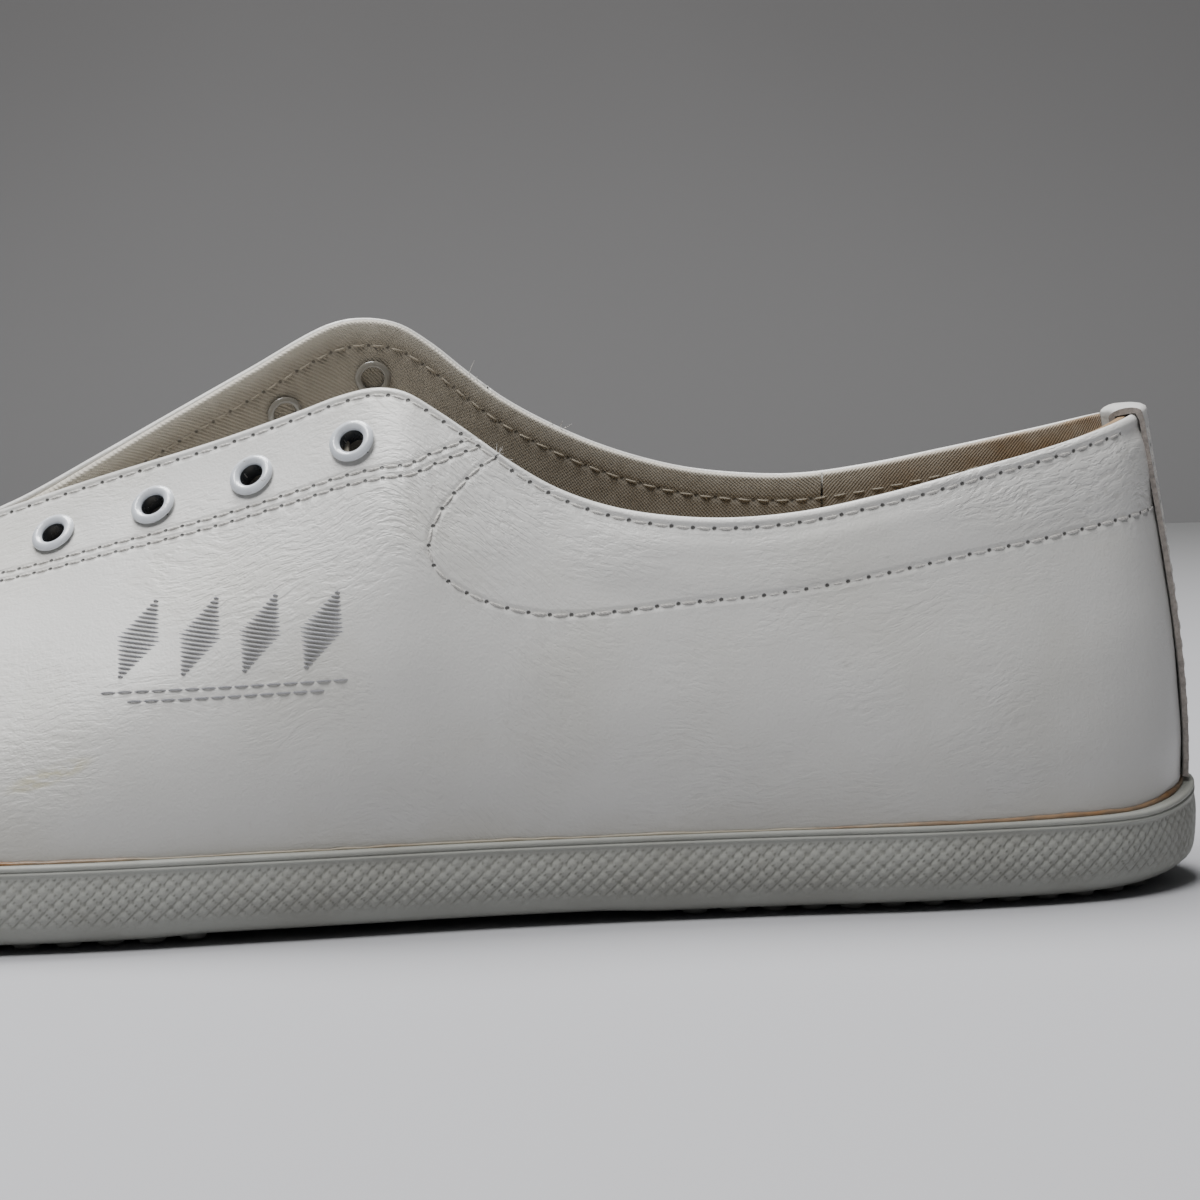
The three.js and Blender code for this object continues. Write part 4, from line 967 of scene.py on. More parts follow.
# ---------------------------------------------------------------- leather pieces
def press_seats(p, side):
    """How deep the leather is drawn in round each eyelet."""
    deep = np.zeros(p.shape[:-1])
    for place, out in zip(*eyelet_places(side)):
        away = np.linalg.norm(p - place, axis=-1)
        above = ((p - place) * out).sum(-1)
        flat = np.where(away < 4.6, np.maximum(above, 0), 0)
        deep = np.maximum(deep, 0.16 * np.exp(-((away / 4.8) ** 2)) + flat)
    return deep


def back_q(side, half):
    """q at which the upper's middle height lies some distance beside the back seam."""
    q = np.linspace(0.9, 1, 400)
    y = np.abs(surface(side, q, np.full(400, 0.6))[:, 1])
    return float(np.interp(-half, -y, q))


def quarter(side, seams):
    q = spread(side, float(q_at(QUARTER_FRONT)), back_q(side, 0.3), GRID)
    v, distance = edge_rows(side, q, TOP_STEPS, 30)
    p = surface(side, q[:, None], v)
    n = normal(side, q[:, None], v)
    s = p[..., 0]
    fold = LEATHER + (FOLD - LEATHER) * ease((206 - s) / 10)
    near, far = rolled(distance, fold)
    loose = ease(distance / 5) * ease((v - 0.1) / 0.15)
    shift = LAP * ease((s - 203) / 8) + leather_dents(p) * loose + collar_swell(distance, s)
    shift -= press_seats(p, side)
    kept = without_holes(p, side, LEATHER_HOLE)
    outer, inner = p - n * (near - shift)[..., None], p - n * (far - shift)[..., None]
    points, faces = shell(outer, inner, kept)
    uvs = {"sheet": sheet_uv(outer)}
    layers = []
    for name, (seam, rows) in seams.items():
        uvs[name] = np.tile(seam.uv(p), (2, 1))
        layers.append((name, seam.pitch, seam.length, rows))
    obj = mesh_object(f"{side}_quarter_leather", points, faces, uvs,
                      leather(f"leather_{side}", layers, smear=side == "lateral"), 40)
    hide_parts(f"{side}_quarter")


def toe_grid(rear, step, rows):
    """Columns round the toe from one side to the other, and rows up to the ridge."""
    q = spread("lateral", 0.0, float(q_at(rear)), step, 0.4)
    v = np.linspace(0, 1, rows + 1)[None] + np.zeros((len(q), 1))
    return [("lateral", q[::-1], v), ("medial", q[1:], v[1:])]


def toe_layer(blocks, near, far):
    """Outer and inner points of a toe piece. near and far give depths from (side, q, v)."""
    made = []
    for depth in (near, far):
        made.append(np.concatenate([at_depth(side, q[:, None], v, depth(side, q, v))
                                    for side, q, v in blocks]))
    return made


FLEX_CREASES = (224, 1.7, 0.2), (229.5, 1.5, 0.27), (236, 2.0, 0.2), (243, 1.6, 0.12)


def flex(p):
    """Soft creases across the ball of the foot, as a depth."""
    s, y = p[..., 0], p[..., 1]
    bend = 0.0016 * (y - 4) ** 2
    deep = sum(depth * bump(s + bend + 1.2 * np.sin(y * 0.21 + at), at, width)
               for at, width, depth in FLEX_CREASES)
    return deep * ease((p[..., 2] - 32) / 12)


def vamp():
    blocks = toe_grid(VAMP_SEAM, GRID, 44)

    def shifted(base):
        def depth(side, q, v):
            p = surface(side, q[:, None], v)
            return base - leather_dents(p) * ease((v - 0.1) / 0.15) + flex(p)
        return depth

    outer, inner = toe_layer(blocks, shifted(0), shifted(LEATHER))
    points, faces = shell(outer, inner, joined_top=True)
    obj = mesh_object("vamp_leather", points, faces, {"sheet": sheet_uv(outer)},
                      leather("leather_vamp"), 40)
    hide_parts("vamp")


def toe_sheet(name, node, rear, near, far, material):
    blocks = toe_grid(rear, 2.2, 24)
    flat = lambda d: lambda side, q, v: np.full(v.shape, d)
    outer, inner = toe_layer(blocks, flat(near), flat(far))
    points, faces = shell(outer, inner, joined_top=True)
    obj = mesh_object(name, points, faces, {"sheet": sheet_uv(outer)}, material, 40)
    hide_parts(node)


def side_sheet(name, node, side, front, rear, near, far, material, steps, low=20, holes=0.0,
               stop=None, seams=None, wrapped=False):
    """A lining or reinforcement of one side, or of both round the heel when side is None.
    steps are its rows' distances from the top edge, and wrapped fits it into the turned edge."""
    parts = []
    for one in SIDES if side is None else (side,):
        end = 1.0 if side is None else float(q_at(rear))
        q = spread(one, float(q_at(front)), end, 2.0)
        v, distance = edge_rows(one, q, steps, low)
        if stop is not None:  # rows end above or below some distances from the top edge
            v, distance = v[:, stop], distance[:, stop]
        parts.append((one, q, v, distance))
    if side is None:
        one, q, v, distance = parts[1]
        parts[1] = (one, q[:-1][::-1], v[:-1][::-1], distance[:-1][::-1])
    grids = []
    for k in (0, 1):
        layer = []
        for one, q, v, distance in parts:
            out = near - (EDGE_ROOM * edge_room(distance) if wrapped else 0)
            round_ = round_edge((far - out) / 2, distance, 0.5)
            depth = (out + far) / 2 + (round_ if k else -round_)
            layer.append(at_depth(one, q[:, None], v, depth))
        grids.append(np.concatenate(layer))
    outer, inner = grids
    kept = without_holes(outer, side, holes) if holes else None
    points, faces = shell(outer, inner, kept)
    uvs = {"sheet": sheet_uv(outer)}
    for layer_name, seam in (seams or {}).items():
        uvs[layer_name] = np.tile(seam.uv(inner), (2, 1))
    obj = mesh_object(name, points, faces, uvs, material, 40)
    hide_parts(node)


STRIP_COLUMNS = [7, 6.9, 6.7, 6.1, 5.2, 3.8, 2.3, 1.1]  # from the edges in to the middle
STRIP_ROWS, STRIP_THICKNESS, STRIP_STAND, STRIP_CURL = 46, 1.2, 0.15, 0.42
STRIP_RAW = 6.8  # columns further from the middle than this are cut edges


def heel_strip():
    """Narrow leather strip over the back seam, turned in over the top edge. Its cut edges are
    raw and stand a little off the quarters. Returns its two seams."""
    offsets = [-a for a in STRIP_COLUMNS] + [0] + STRIP_COLUMNS[::-1]
    thick = STRIP_THICKNESS
    low = float(v_height("lateral", 1.0, WALL_TOP_HEEL + 0.5)[0])
    inside = LINING_OUT + STRIP_STAND
    # Rows of (v, or minus the distance down the inside; depths near and far; lifts near and far).
    rows = [(v, -STRIP_STAND, -thick, 0, 0) for v in np.linspace(low, 1, STRIP_ROWS)[:-1]]
    middle, radius = (inside - STRIP_STAND) / 2, (inside + STRIP_STAND) / 2
    for angle in np.linspace(0, np.pi, 9):  # over the top, as half a circle
        near = middle - radius * math.cos(angle)
        far = middle - (radius + thick - 0.1) * math.cos(angle)
        lift = 0.05 + 0.1 * math.sin(angle)
        rows.append((1.0, near, far, lift, lift + 1.05 * math.sin(angle)))
    for down in np.linspace(0.6, 9, 10):
        rows.append((-down, inside, inside + thick * 0.85, 0, 0))
    near_grid, far_grid = [], []
    for offset in offsets:
        side = "lateral" if offset < 0 else "medial"
        share = abs(offset) / STRIP_HALF_WIDTH
        q_line = np.linspace(0.82, 1, 240)
        near_row, far_row = [], []
        for v, near, far, lift_near, lift_far in rows:
            place = v if v >= 0 else float(under_edge(side, np.ones(1), -v)[0])
            y = np.abs(surface(side, q_line, np.full(240, place))[:, 1])
            q = float(np.interp(-abs(offset), -y, q_line))
            if v < 0:
                place = float(under_edge(side, np.array([q]), -v)[0])
            away = STRIP_CURL * share**7 if 0 <= v < 1 else 0.0
            for row, depth, lift in ((near_row, near - away, lift_near),
                                     (far_row, far - 0.55 * away, lift_far)):
                row.append(at_depth(side, np.array(q), np.array(place), np.array(depth))
                           + [0, 0, lift])
        near_grid.append(near_row)
        far_grid.append(far_row)
    near_grid, far_grid = np.array(near_grid), np.array(far_grid)
    points, faces = shell(far_grid, near_grid)
    seams, layers = {}, []
    for k, column in ((0, 4), (1, len(offsets) - 5)):
        line, under = (grid[column, 1 : STRIP_ROWS - 2] for grid in (far_grid, near_grid))
        seams[f"strip_{k}"] = Seam(line, unit(line - under), STRIP_PITCH)
    raw = (np.abs(offsets) > STRIP_RAW).astype(float)[:, None] + np.zeros(near_grid.shape[:2])
    uvs = {"sheet": sheet_uv(far_grid),
           "raw": np.tile(np.stack([raw.ravel(), raw.ravel()], -1), (2, 1))}
    for name, seam in seams.items():
        uvs[name] = np.tile(seam.uv(far_grid), (2, 1))
        layers.append((name, seam.pitch, seam.length, (0.0,)))
    obj = mesh_object("heel_strip_leather", points, faces, uvs,
                      leather("leather_strip", layers, 0.7, raw=True), 50)
    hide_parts("heel_strip")
    return list(seams.values())


# ---------------------------------------------------------------- sole
def underside(s):
    """Height of the sole's underside, a little higher at the waist."""
    return NUB_HEIGHT + ARCH_LIFT * (ease((s - 88) / 12) - ease((s - 156) / 12)) + spring(s)


def wall_top(q, s):
    """Height of the rubber's top edge."""
    heel = (WALL_TOP_HEEL - WALL_TOP) * ease((q - 0.86) / 0.14)
    toe = (WALL_TOP_TOE - WALL_TOP) * ease((0.4 - q) / 0.4)
    return WALL_TOP + heel + toe + spring(s)


def catmull_rows(rings, places):
    """Smooth rows between rings of points, at fractional places."""
    rings = np.concatenate([2 * rings[:1] - rings[1:2], rings, 2 * rings[-1:] - rings[-2:-1]])
    made = []
    for place in places:
        i = min(int(place), len(rings) - 4)
        t = place - i
        a, b, c, d = rings[i : i + 4]
        made.append(0.5 * (2 * b + (c - a) * t + (2 * a - 5 * b + 4 * c - d) * t * t
                           + (3 * b - 3 * c + d - a) * t**3))
    return np.array(made)


KNURL_PITCH, KNURL_RISE, KNURL_DEPTH = 2.35, 2.15, 0.30
# Two fine lines and a rounded top edge: distance in from the wall, and height from its top.
LIP = [(0.30, -1.55), (0.16, -1.42), (0.16, -1.16), (0.30, -1.02), (0.44, -0.92), (0.46, -0.84),
       (0.30, -0.74), (0.20, -0.60), (0.22, -0.30), (0.36, -0.08), (0.62, 0.0), (1.0, -0.02)]
FLOOR_CELLS, END_BOW = 14, 0.6  # cells across the underside, and the bow of its first rows
KNURL_STEP = 0.33


def cup():
    """The sole: knurled side wall, lip with two fine lines, flat underside and inner floor."""
    q = spread("lateral", 0.0, 1.0, KNURL_STEP, 0.02)
    steps = [np.diff(on_inset(FEATHER_INSET, side, q)[:, :2], axis=0) for side in SIDES]
    apart = np.linalg.norm(steps, axis=-1).min(0) > 0.08
    q = q[np.concatenate([[True], apart])]
    q[-1] = 1.0
    n = len(q)
    other_q = q[::-1][1:-1]
    loop_q = np.concatenate([q, other_q])

    def ring(distance):
        return np.concatenate([on_inset(distance, "lateral", q),
                               on_inset(distance, "medial", other_q)])

    tuck = 1 + 1.3 * ease((loop_q - 0.8) / 0.2) + 0.4 * ease((0.2 - loop_q) / 0.2)
    edge = ring(0)
    s, top = edge[:, 0], wall_top(loop_q, edge[:, 0])
    out = np.stack([edge[:, 2], edge[:, 3], 0 * s], -1)

    def outer(back, z):
        base = np.stack([edge[:, 0], edge[:, 1], z], -1)
        return base - out * np.broadcast_to(back, s.shape)[:, None]

    low = underside(s)
    rings = np.array([outer(3.9 * tuck, low), outer(2.3 * tuck, low + 0.55),
                      outer(1.1 * tuck, low + 1.8), outer(0.25 * tuck, low + 4),
                      outer(0, top - 5.2), outer(0.3, top - 1.7)])
    wall_rows = int(13.5 / KNURL_STEP)
    wall = catmull_rows(rings, np.linspace(0, 5, wall_rows))
    lip = np.array([outer(back, top + z) for back, z in LIP])
    lean = np.concatenate([surface(side, at, v_height(side, at, z)) for side, at, z in (
        ("lateral", q, top[:n]), ("medial", other_q, top[n:]))])
    inner = []
    for drop, room in ((0.0, 0.25), (0.6, 0.15), (3.5, 0.35)):
        p = lean.copy()
        p[:, 2] = top - drop
        inner.append(p + out * room)
    foot = ring(FEATHER_INSET)
    floor_z = NUB_HEIGHT + FLOOR_THICKNESS + spring(foot[:, 0])
    inner.append(np.stack([foot[:, 0], foot[:, 1], floor_z], -1) + out * 0.4)
    rows = np.concatenate([wall, lip, np.array(inner)])

    measured = rows[wall_rows - 3]
    gone = np.linalg.norm(np.diff(measured, axis=0), axis=-1)
    arc = np.concatenate([[0], np.cumsum(gone)])
    total = arc[-1] + np.linalg.norm(measured[0] - measured[-1])
    u = arc / total * round(total / KNURL_PITCH)
    relief = np.zeros(rows.shape[:2])
    height = wall[..., 2]
    below = top[None] - 1.65 - height
    w = below / KNURL_RISE
    saw = lambda x: 2 * np.abs(x - np.floor(x) - 0.5)
    lozenge = np.minimum(1 - saw(u[None] + w), 1 - saw(u[None] - w))
    flat = ease(lozenge / 0.42)
    pit = 0.35 * ease((lozenge - 0.72) / 0.25)
    amount = ease(below / 0.35) * ease((height - low[None] - 1.6) / 2.2)
    fade = 1 - 0.75 * ease((loop_q - 0.93) / 0.06)
    relief[:wall_rows] = (1 - flat + pit) * amount * fade[None] * KNURL_DEPTH
    relief[:wall_rows] -= 0.04 * waves(wall, 4, 8) * amount
    rows[:wall_rows] -= out[None] * relief[:wall_rows][..., None]
    # shade is 1 on the knurl's tops and falls to 0 in its grooves; the rubber uses it to colour the
    # grooves darker as painted shade.
    shade = 1 - np.clip(relief / KNURL_DEPTH, 0, 1)

    grid = np.moveaxis(rows, 0, 1)
    count, m = grid.shape[:2]
    points = [grid.reshape(-1, 3)]
    i, j = np.meshgrid(np.arange(count), np.arange(m - 1), indexing="ij")
    i, j = i.ravel(), j.ravel()
    k = (i + 1) % count
    faces = [np.stack([i * m + j, k * m + j, k * m + j + 1, i * m + j + 1], 1)]
    base = count * m
    across = FLOOR_CELLS
    for row, turned in ((0, False), (m - 1, True)):  # underside and inner floor
        left = grid[:n, row]
        right = grid[(count - np.arange(n)) % count, row]
        t = np.linspace(0, 1, across + 1)[None, :, None]
        sheet = left[:, None] * (1 - t) + right[:, None] * t
        at_end = np.clip(np.minimum(np.arange(n), np.arange(n)[::-1]) / 6, 0, 1)
        bow = END_BOW * at_end * (2 * np.arange(n) / (n - 1) - 1)  # keeps rows apart at flat ends
        sheet[..., 0] += bow[:, None] * (4 * t * (1 - t))[..., 0]
        points.append(sheet.reshape(-1, 3))
        a, b = np.meshgrid(np.arange(n - 1), np.arange(across), indexing="ij")
        a, b = a.ravel(), b.ravel()
        f = base + np.stack([a * (across + 1) + b, a * (across + 1) + b + 1,
                             (a + 1) * (across + 1) + b + 1, (a + 1) * (across + 1) + b], 1)
        faces.append(f[:, ::-1] if turned else f)
        base += n * (across + 1)
    uv = np.concatenate([np.stack([shade.T.ravel(), np.tile(np.arange(m) / m, count)], -1),
                         np.ones((base - count * m, 2))])
    obj = mesh_object("rubber_cup", np.concatenate(points), np.concatenate(faces).tolist(),
                      {"relief": uv}, white_rubber, 50)
    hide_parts("cup_sole")


NUB_PROFILE = [(2.3, 0.5), (2.28, 0), (2.12, -0.75), (1.95, -1.12), (1.6, -1.29), (0.9, -1.3)]
NUB_INSET, NUB_SPACING, NUB_ROWS, NUB_CLEAR, NUB_SIDES = 8.4, 6.2, 5.4, 5.7, 14


def nubs():
    """Round nubs: a row along the edge, as in the CAD part, and a grid inside it."""
    places = []
    for side in SIDES:
        last = None
        for q in np.arange(4001) / 4000:
            s, y = on_inset(NUB_INSET, side, q)[:2]
            wanted = 12 < s < 84 or 160 < s < 290
            clear = last is None or math.hypot(s - last[0], y - last[1]) >= NUB_SPACING
            if wanted and clear and abs(y - 6 * (s > 200)) >= NUB_SPACING / 2:
                last = (s, y)
                places.append(last)
    for row, s in enumerate(np.arange(16, 290, NUB_ROWS)):
        if 82 < s < 163:  # the waist is plain
            continue
        low, high = (on_inset(NUB_INSET, side, q_at(s))[1] for side in SIDES)
        for y in np.arange(-60, 60, NUB_SPACING) + NUB_SPACING / 2 * (row % 2):
            if low < y < high and all(math.hypot(s - a, y - b) > NUB_CLEAR for a, b in places):
                places.append((s, y))
    sides = NUB_SIDES
    turn = np.linspace(0, 2 * np.pi, sides, endpoint=False)
    shape = np.array([[(r * math.cos(a), r * math.sin(a), h) for a in turn]
                      for r, h in NUB_PROFILE]).reshape(-1, 3)
    points, faces = [], []
    for s, y in places:
        base = len(points) * len(shape)
        points.append(shape + [s, y, float(underside(s))])
        for r in range(len(NUB_PROFILE) - 1):
            for k in range(sides):
                a, b = base + r * sides + k, base + r * sides + (k + 1) % sides
                faces.append([a, b, b + sides, a + sides])
        last = base + (len(NUB_PROFILE) - 1) * sides
        faces.append([base + k for k in range(sides)][::-1])
        faces.append([last + k for k in range(sides)])
    points = np.concatenate(points)
    obj = mesh_object("sole_nubs", points, faces, {"relief": np.ones((len(points), 2))},
                      white_rubber, 40)


def plate(name, node, distance, low, high, material, crown=0.0):
    """A board across the shoe, with rounded edges."""
    q = spread("lateral", 0.0, 1.0, 2.5, 0.02)
    left, right = on_inset(distance, "lateral", q), on_inset(distance, "medial", q)
    t = np.concatenate([[0, 0.006, 0.02], np.linspace(0.06, 0.94, 23), [0.98, 0.994, 1]])
    flat = left[:, None, :2] * (1 - t[None, :, None]) + right[:, None, :2] * t[None, :, None]
    width = np.linalg.norm(left[:, :2] - right[:, :2], axis=-1)[:, None]
    rim_gap = np.minimum(t, 1 - t)[None] * width
    ends = np.minimum(np.arange(len(q)), np.arange(len(q))[::-1])[:, None] * 1.5
    rim_gap = np.minimum(rim_gap, ends)
    round_ = round_edge((high - low) / 2, rim_gap, 1.0)
    middle = (low + high) / 2 + spring(flat[..., 0])
    dish = crown * (1 - ease(rim_gap / 9))
    top = np.concatenate([flat, (middle + round_ + dish)[..., None]], -1)
    bottom = np.concatenate([flat, (middle - round_)[..., None]], -1)
    points, faces = shell(top, bottom)
    obj = mesh_object(name, points, faces, {"sheet": sheet_uv(top)}, material, 50)
    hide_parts(node)


# ---------------------------------------------------------------- tongue
tongue_height, tongue_width = through(TONGUE_HEIGHT), through(TONGUE_WIDTH)


def tongue_grid(depth_of):
    """The tongue's points at the depths that depth_of gives from s and the gap to its side."""
    s = np.concatenate([np.linspace(TONGUE_TIP, 128, 9)[:-1], np.linspace(128, TONGUE_ROOT, 62)])
    k = np.linspace(-1, 1, 45)
    s, k = s[:, None] + 0 * k[None], k[None] + 0 * s[:, None]
    half = tongue_width(s)
    drop = 0.72 * (np.hypot(8, half * k) - 8)
    depth = depth_of(s, half * (1 - np.abs(k)))
    return np.stack([s, TONGUE_MIDDLE + half * k, tongue_height(s) - drop - depth], -1)


def tongue():
    def layer(low, high, sign):
        middle, half = (low + high) / 2, (high - low) / 2
        return lambda s, gap: middle + sign * round_edge(
            half, np.minimum(gap, np.abs(s - TONGUE_TIP)), 0.6)

    for name, node, low, high, slot in (
        ("tongue_leather", "tongue", 0, LEATHER, "white_leather"),
        ("tongue_twill", "tongue_lining", LEATHER + GAP, LEATHER + GAP + 0.6, "twill_lining"),
    ):
        outer, inner = tongue_grid(layer(low, high, -1)), tongue_grid(layer(low, high, 1))
        points, faces = shell(outer, inner)
        uvs = {"sheet": sheet_uv(outer)}
        if node == "tongue":
            border = np.concatenate([outer[-4:8:-1, 3], outer[8, 3:-3], outer[8:-4, -4]])
            seam = Seam(border, np.broadcast_to([0, 0, 1.0], border.shape), STRIP_PITCH)
            uvs["rim"] = np.tile(seam.uv(outer), (2, 1))
            material = leather("leather_tongue", [("rim", seam.pitch, seam.length, (0.0,))],
                               glue=False)
        else:
            material = twill("twill_tongue", LINING_COLOR)
        obj = mesh_object(name, points, faces, uvs, material, 50, TONGUE)
        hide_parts(node)
    tubes("tongue_stitches", stitch_paths(seam), THREAD_RADII, white_thread, 7, TONGUE)


# ---------------------------------------------------------------- eyelets
EYELET_TURNS, CRIMPS, CRIMP = 48, 7, 0.006


def eyelets():
    """Rolled white rings: flange in front, barrel through the leather, crimped curl behind."""
    curl = -(LINING_OUT + GAP)
    seat, high, wide, bore = EYELET_SEAT, EYELET_HEIGHT, EYELET_RADIUS, EYELET_BORE
    wall = bore + EYELET_WALL
    profile = dense([
        (bore, curl - 0.3, 0), (bore + 0.12, curl - 0.62, 0), (EYELET_CURL - 0.5, curl - 0.68, 0),
        (EYELET_CURL, curl - 0.34, 0), (EYELET_CURL - 0.3, curl, 0), (wall, curl, 0),
        (wall, seat - 0.02, 0), (wide - 0.25, seat, 0), (wide, seat + 0.16, 0),
        (wide - 0.16, seat + 0.6 * high, 0), (wide - 0.8, seat + 0.97 * high, 0),
        (bore + 0.62, seat + 0.9 * high, 0), (bore + 0.12, seat + 0.45 * high, 0),
        (bore, seat - 0.2, 0), (bore, -1.4, 0)], True, 64)[:-1]
    turns = EYELET_TURNS
    angle = np.linspace(0, 2 * np.pi, turns, endpoint=False)
    wear = np.clip((profile[:, 1] - seat) / high, 0, 1)
    # inner is 1 in the bore, which is coloured as painted shade, and 2 on the bare curl behind.
    inner = ((profile[:, 0] < bore + 0.08) & (profile[:, 1] < seat + 0.1)).astype(float)
    inner[profile[:, 1] < curl + 0.05] = 2
    for side in SIDES:
        for number, (place, out) in enumerate(zip(*eyelet_places(side)), 1):
            x = unit(np.cross(out, [0, 0, 1.0]))
            y = np.cross(out, x)
            crimp = CRIMP * np.cos(angle * CRIMPS + number)[:, None]
            r = profile[:, 0][None] * (1 + crimp * (profile[:, 1] < curl)[None])
            grid = (place + r[..., None] * (np.cos(angle)[:, None, None] * x
                                            + np.sin(angle)[:, None, None] * y)
                    + profile[:, 1][None, :, None] * out)
            m = len(profile)
            i, j = np.meshgrid(np.arange(turns), np.arange(m), indexing="ij")
            i, j = i.ravel(), j.ravel()
            a, b = i * m + j, ((i + 1) % turns) * m + j
            c, d = ((i + 1) % turns) * m + (j + 1) % m, i * m + (j + 1) % m
            uv = np.stack([np.tile(wear, turns), np.tile(inner, turns)], -1)
            obj = mesh_object(f"ring_{side}_{number}", grid.reshape(-1, 3),
                              np.stack([a, b, c, d], 1).tolist(), {"sheet": uv}, enamelled, 60)
            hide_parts(f"eyelet_{side}_{number}")


# ---------------------------------------------------------------- embroidery and glue
LOZENGES, LOZENGE_FIRST, LOZENGE_STEP, LOZENGE_HEIGHT = 4, 141.5, 9.4, 46.5
RUNNING_LINES = (38.8, 137.5, 175), (37.4, 141, 171)  # height, start and end of each


def motif():
    """Four slanted lozenges in satin stitch over two plain running lines."""
    strands = []
    for k in range(LOZENGES):
        middle = LOZENGE_FIRST + LOZENGE_STEP * k
        for step in np.arange(-5.4, 5.41, 0.6):
            half = 3.1 * (1 - abs(step / 5.6)) + 0.25
            line = np.linspace(half, -half, 7)
            s = middle - 0.42 * step + line
            strands.append((s, LOZENGE_HEIGHT - 0.035 * (s - 155) + step + 0.16 * line))
    for level, start, end in RUNNING_LINES:
        for a in np.arange(start, end, 2.5):
            s = np.linspace(a, a + 2.2, 7)
            strands.append((s, level - 0.035 * (s - 155)))
    s, z = np.moveaxis(np.array(strands), 1, 0)
    q = q_at(s.ravel())
    v = v_height("lateral", q, z.ravel())
    p = surface("lateral", q, v)
    arch = 0.34 * (1 - np.abs(np.linspace(-1, 1, 7)) ** 3) - 0.12
    lift = leather_dents(p).reshape(s.shape) + arch
    n = normal("lateral", q, v).reshape(*s.shape, 3)
    paths = p.reshape(*s.shape, 3) + n * lift[..., None]
    radii = 0.16 * np.array([0.7, 0.95, 1, 1, 1, 0.95, 0.7])
    tubes("embroidery", paths, radii, thread("silver_thread", (0.46, 0.46, 0.48), 5, 0.6))


# Side, s, spread and number of the frayed ends.
FRAYED = [("lateral", 112.6, 0.3, 16), ("medial", 118, 0.6, 7), ("medial", 104, 0.6, 6)]


def loose_threads():
    """Short frayed ends of thread and lining at the top edge."""
    rng = np.random.default_rng(5)
    paths = []
    for side, s, apart, number in FRAYED:
        for _ in range(number):
            q = q_at(s + rng.uniform(-2, 2) * apart)
            root = at_depth(side, q, np.array(1.0), np.array(rng.uniform(0.5, 1.9)))
            way = unit(rng.normal(size=3) + [0, 0, 1.1])
            curl = unit(rng.normal(size=3)) * rng.uniform(0.2, 0.7)
            t = np.linspace(0, 1, 6)[:, None]
            paths.append(root - [0, 0, 0.3] + way * t * rng.uniform(0.9, 2.3) + curl * t * t)
    tubes("loose_threads", paths, 0.05 * np.array([1, 1, 1, 0.9, 0.8, 0.6]), white_thread, 5)


def glue_line():
    """Old glue that has oozed out along the top edge of the rubber."""
    q = spread("lateral", 0.004, 0.996, 1.1, 0.02)
    for side in SIDES:
        s = on_inset(FEATHER_INSET, side, q)[:, 0]
        top = wall_top(q, s)
        p = surface(side, q, v_height(side, q, top + 0.12))
        out = on_inset(0, side, q)[:, 2:]
        uneven = waves(p, 17, 21) + 0.6 * waves(p, 4, 22)
        p[:, :2] += out * 0.12
        p[:, 2] += 0.16 * uneven
        thick = np.maximum(ease((62 - s) / 30), ease((s - 164) / 12))
        radii = 0.26 + 0.14 * uneven + 0.2 * thick
        tubes(f"glue_{side}", p[None], np.clip(radii, 0.14, 0.6)[None], old_glue)


GLUE_DARK, GLUE_PALE = ((0.27, 0.13, 0.045), (0.14, 0.07, 0.03)), (0.40, 0.365, 0.29)


def glue_material():
    """Brown old glue, stronger towards the heel and the toe and pale between them."""
    sh = Shader("old_glue", Specular_IOR_Level=0.5)
    x = sh.axes()[0]
    heel = sh.between(x, 78, 106)
    toe = sh.between(x, -32, -16, 1.0, 0.0)
    strong = sh.math("MULTIPLY_ADD", sh.math("MAXIMUM", heel, toe), 0.62,
                     sh.between(sh.noise(11, 3), 0.42, 0.75, 0.08, 0.5))
    color = sh.mix(sh.between(sh.noise(2.2, 3), 0.3, 0.7), *GLUE_DARK)
    color = sh.mix(sh.math("MINIMUM", strong, 1.0), GLUE_PALE, color)
    return sh.finish(color, 0.42, sh.total([(sh.noise(0.7, 2), 0.08)]))


# ---------------------------------------------------------------- make everything
LINING_COLOR, FUZZ_COLOR = (0.40, 0.355, 0.285), (0.60, 0.56, 0.48)
HEEL_STAIN, FOOTBED_STAIN = (0.27, 0.155, 0.06), (0.27, 0.21, 0.13)
THREAD_RADII = 0.21 * np.array([0.6, 0.8, 0.95, 1, 1, 1, 0.95, 0.8, 0.6])

white_thread = thread("white_thread", (0.68, 0.66, 0.62))
lining_thread = thread("lining_thread", (0.42, 0.37, 0.29))
old_glue = glue_material()
white_rubber = rubber("white_rubber")
enamelled = enamel("enamelled_metal")
stiffener = plain_fibre("stiffener_sheet", (0.62, 0.57, 0.47))

SINGLE, DOUBLE = (0.0,), (-0.9, 0.9)  # a seam's rows of stitches, aside of its line
FACING_SEAM = through([(113, 0.4), (115.5, 0.9), (117.7, 3.1), (123, 9.5), (128.6, 15.4),
                       (134, FACING_WIDTH), (210, FACING_WIDTH)])  # distance from the top edge


def on_dents(strands, seam, share, drop):
    """Moves stitches out and in with the uneven leather under them."""
    middle = (np.arange(len(strands)) + 0.5) * seam.pitch
    out = np.stack([np.interp(middle, seam.arc, column) for column in seam.normals.T], -1)
    shift = leather_dents(strands) * share - drop
    return strands + unit(out)[:, None] * shift[..., None]


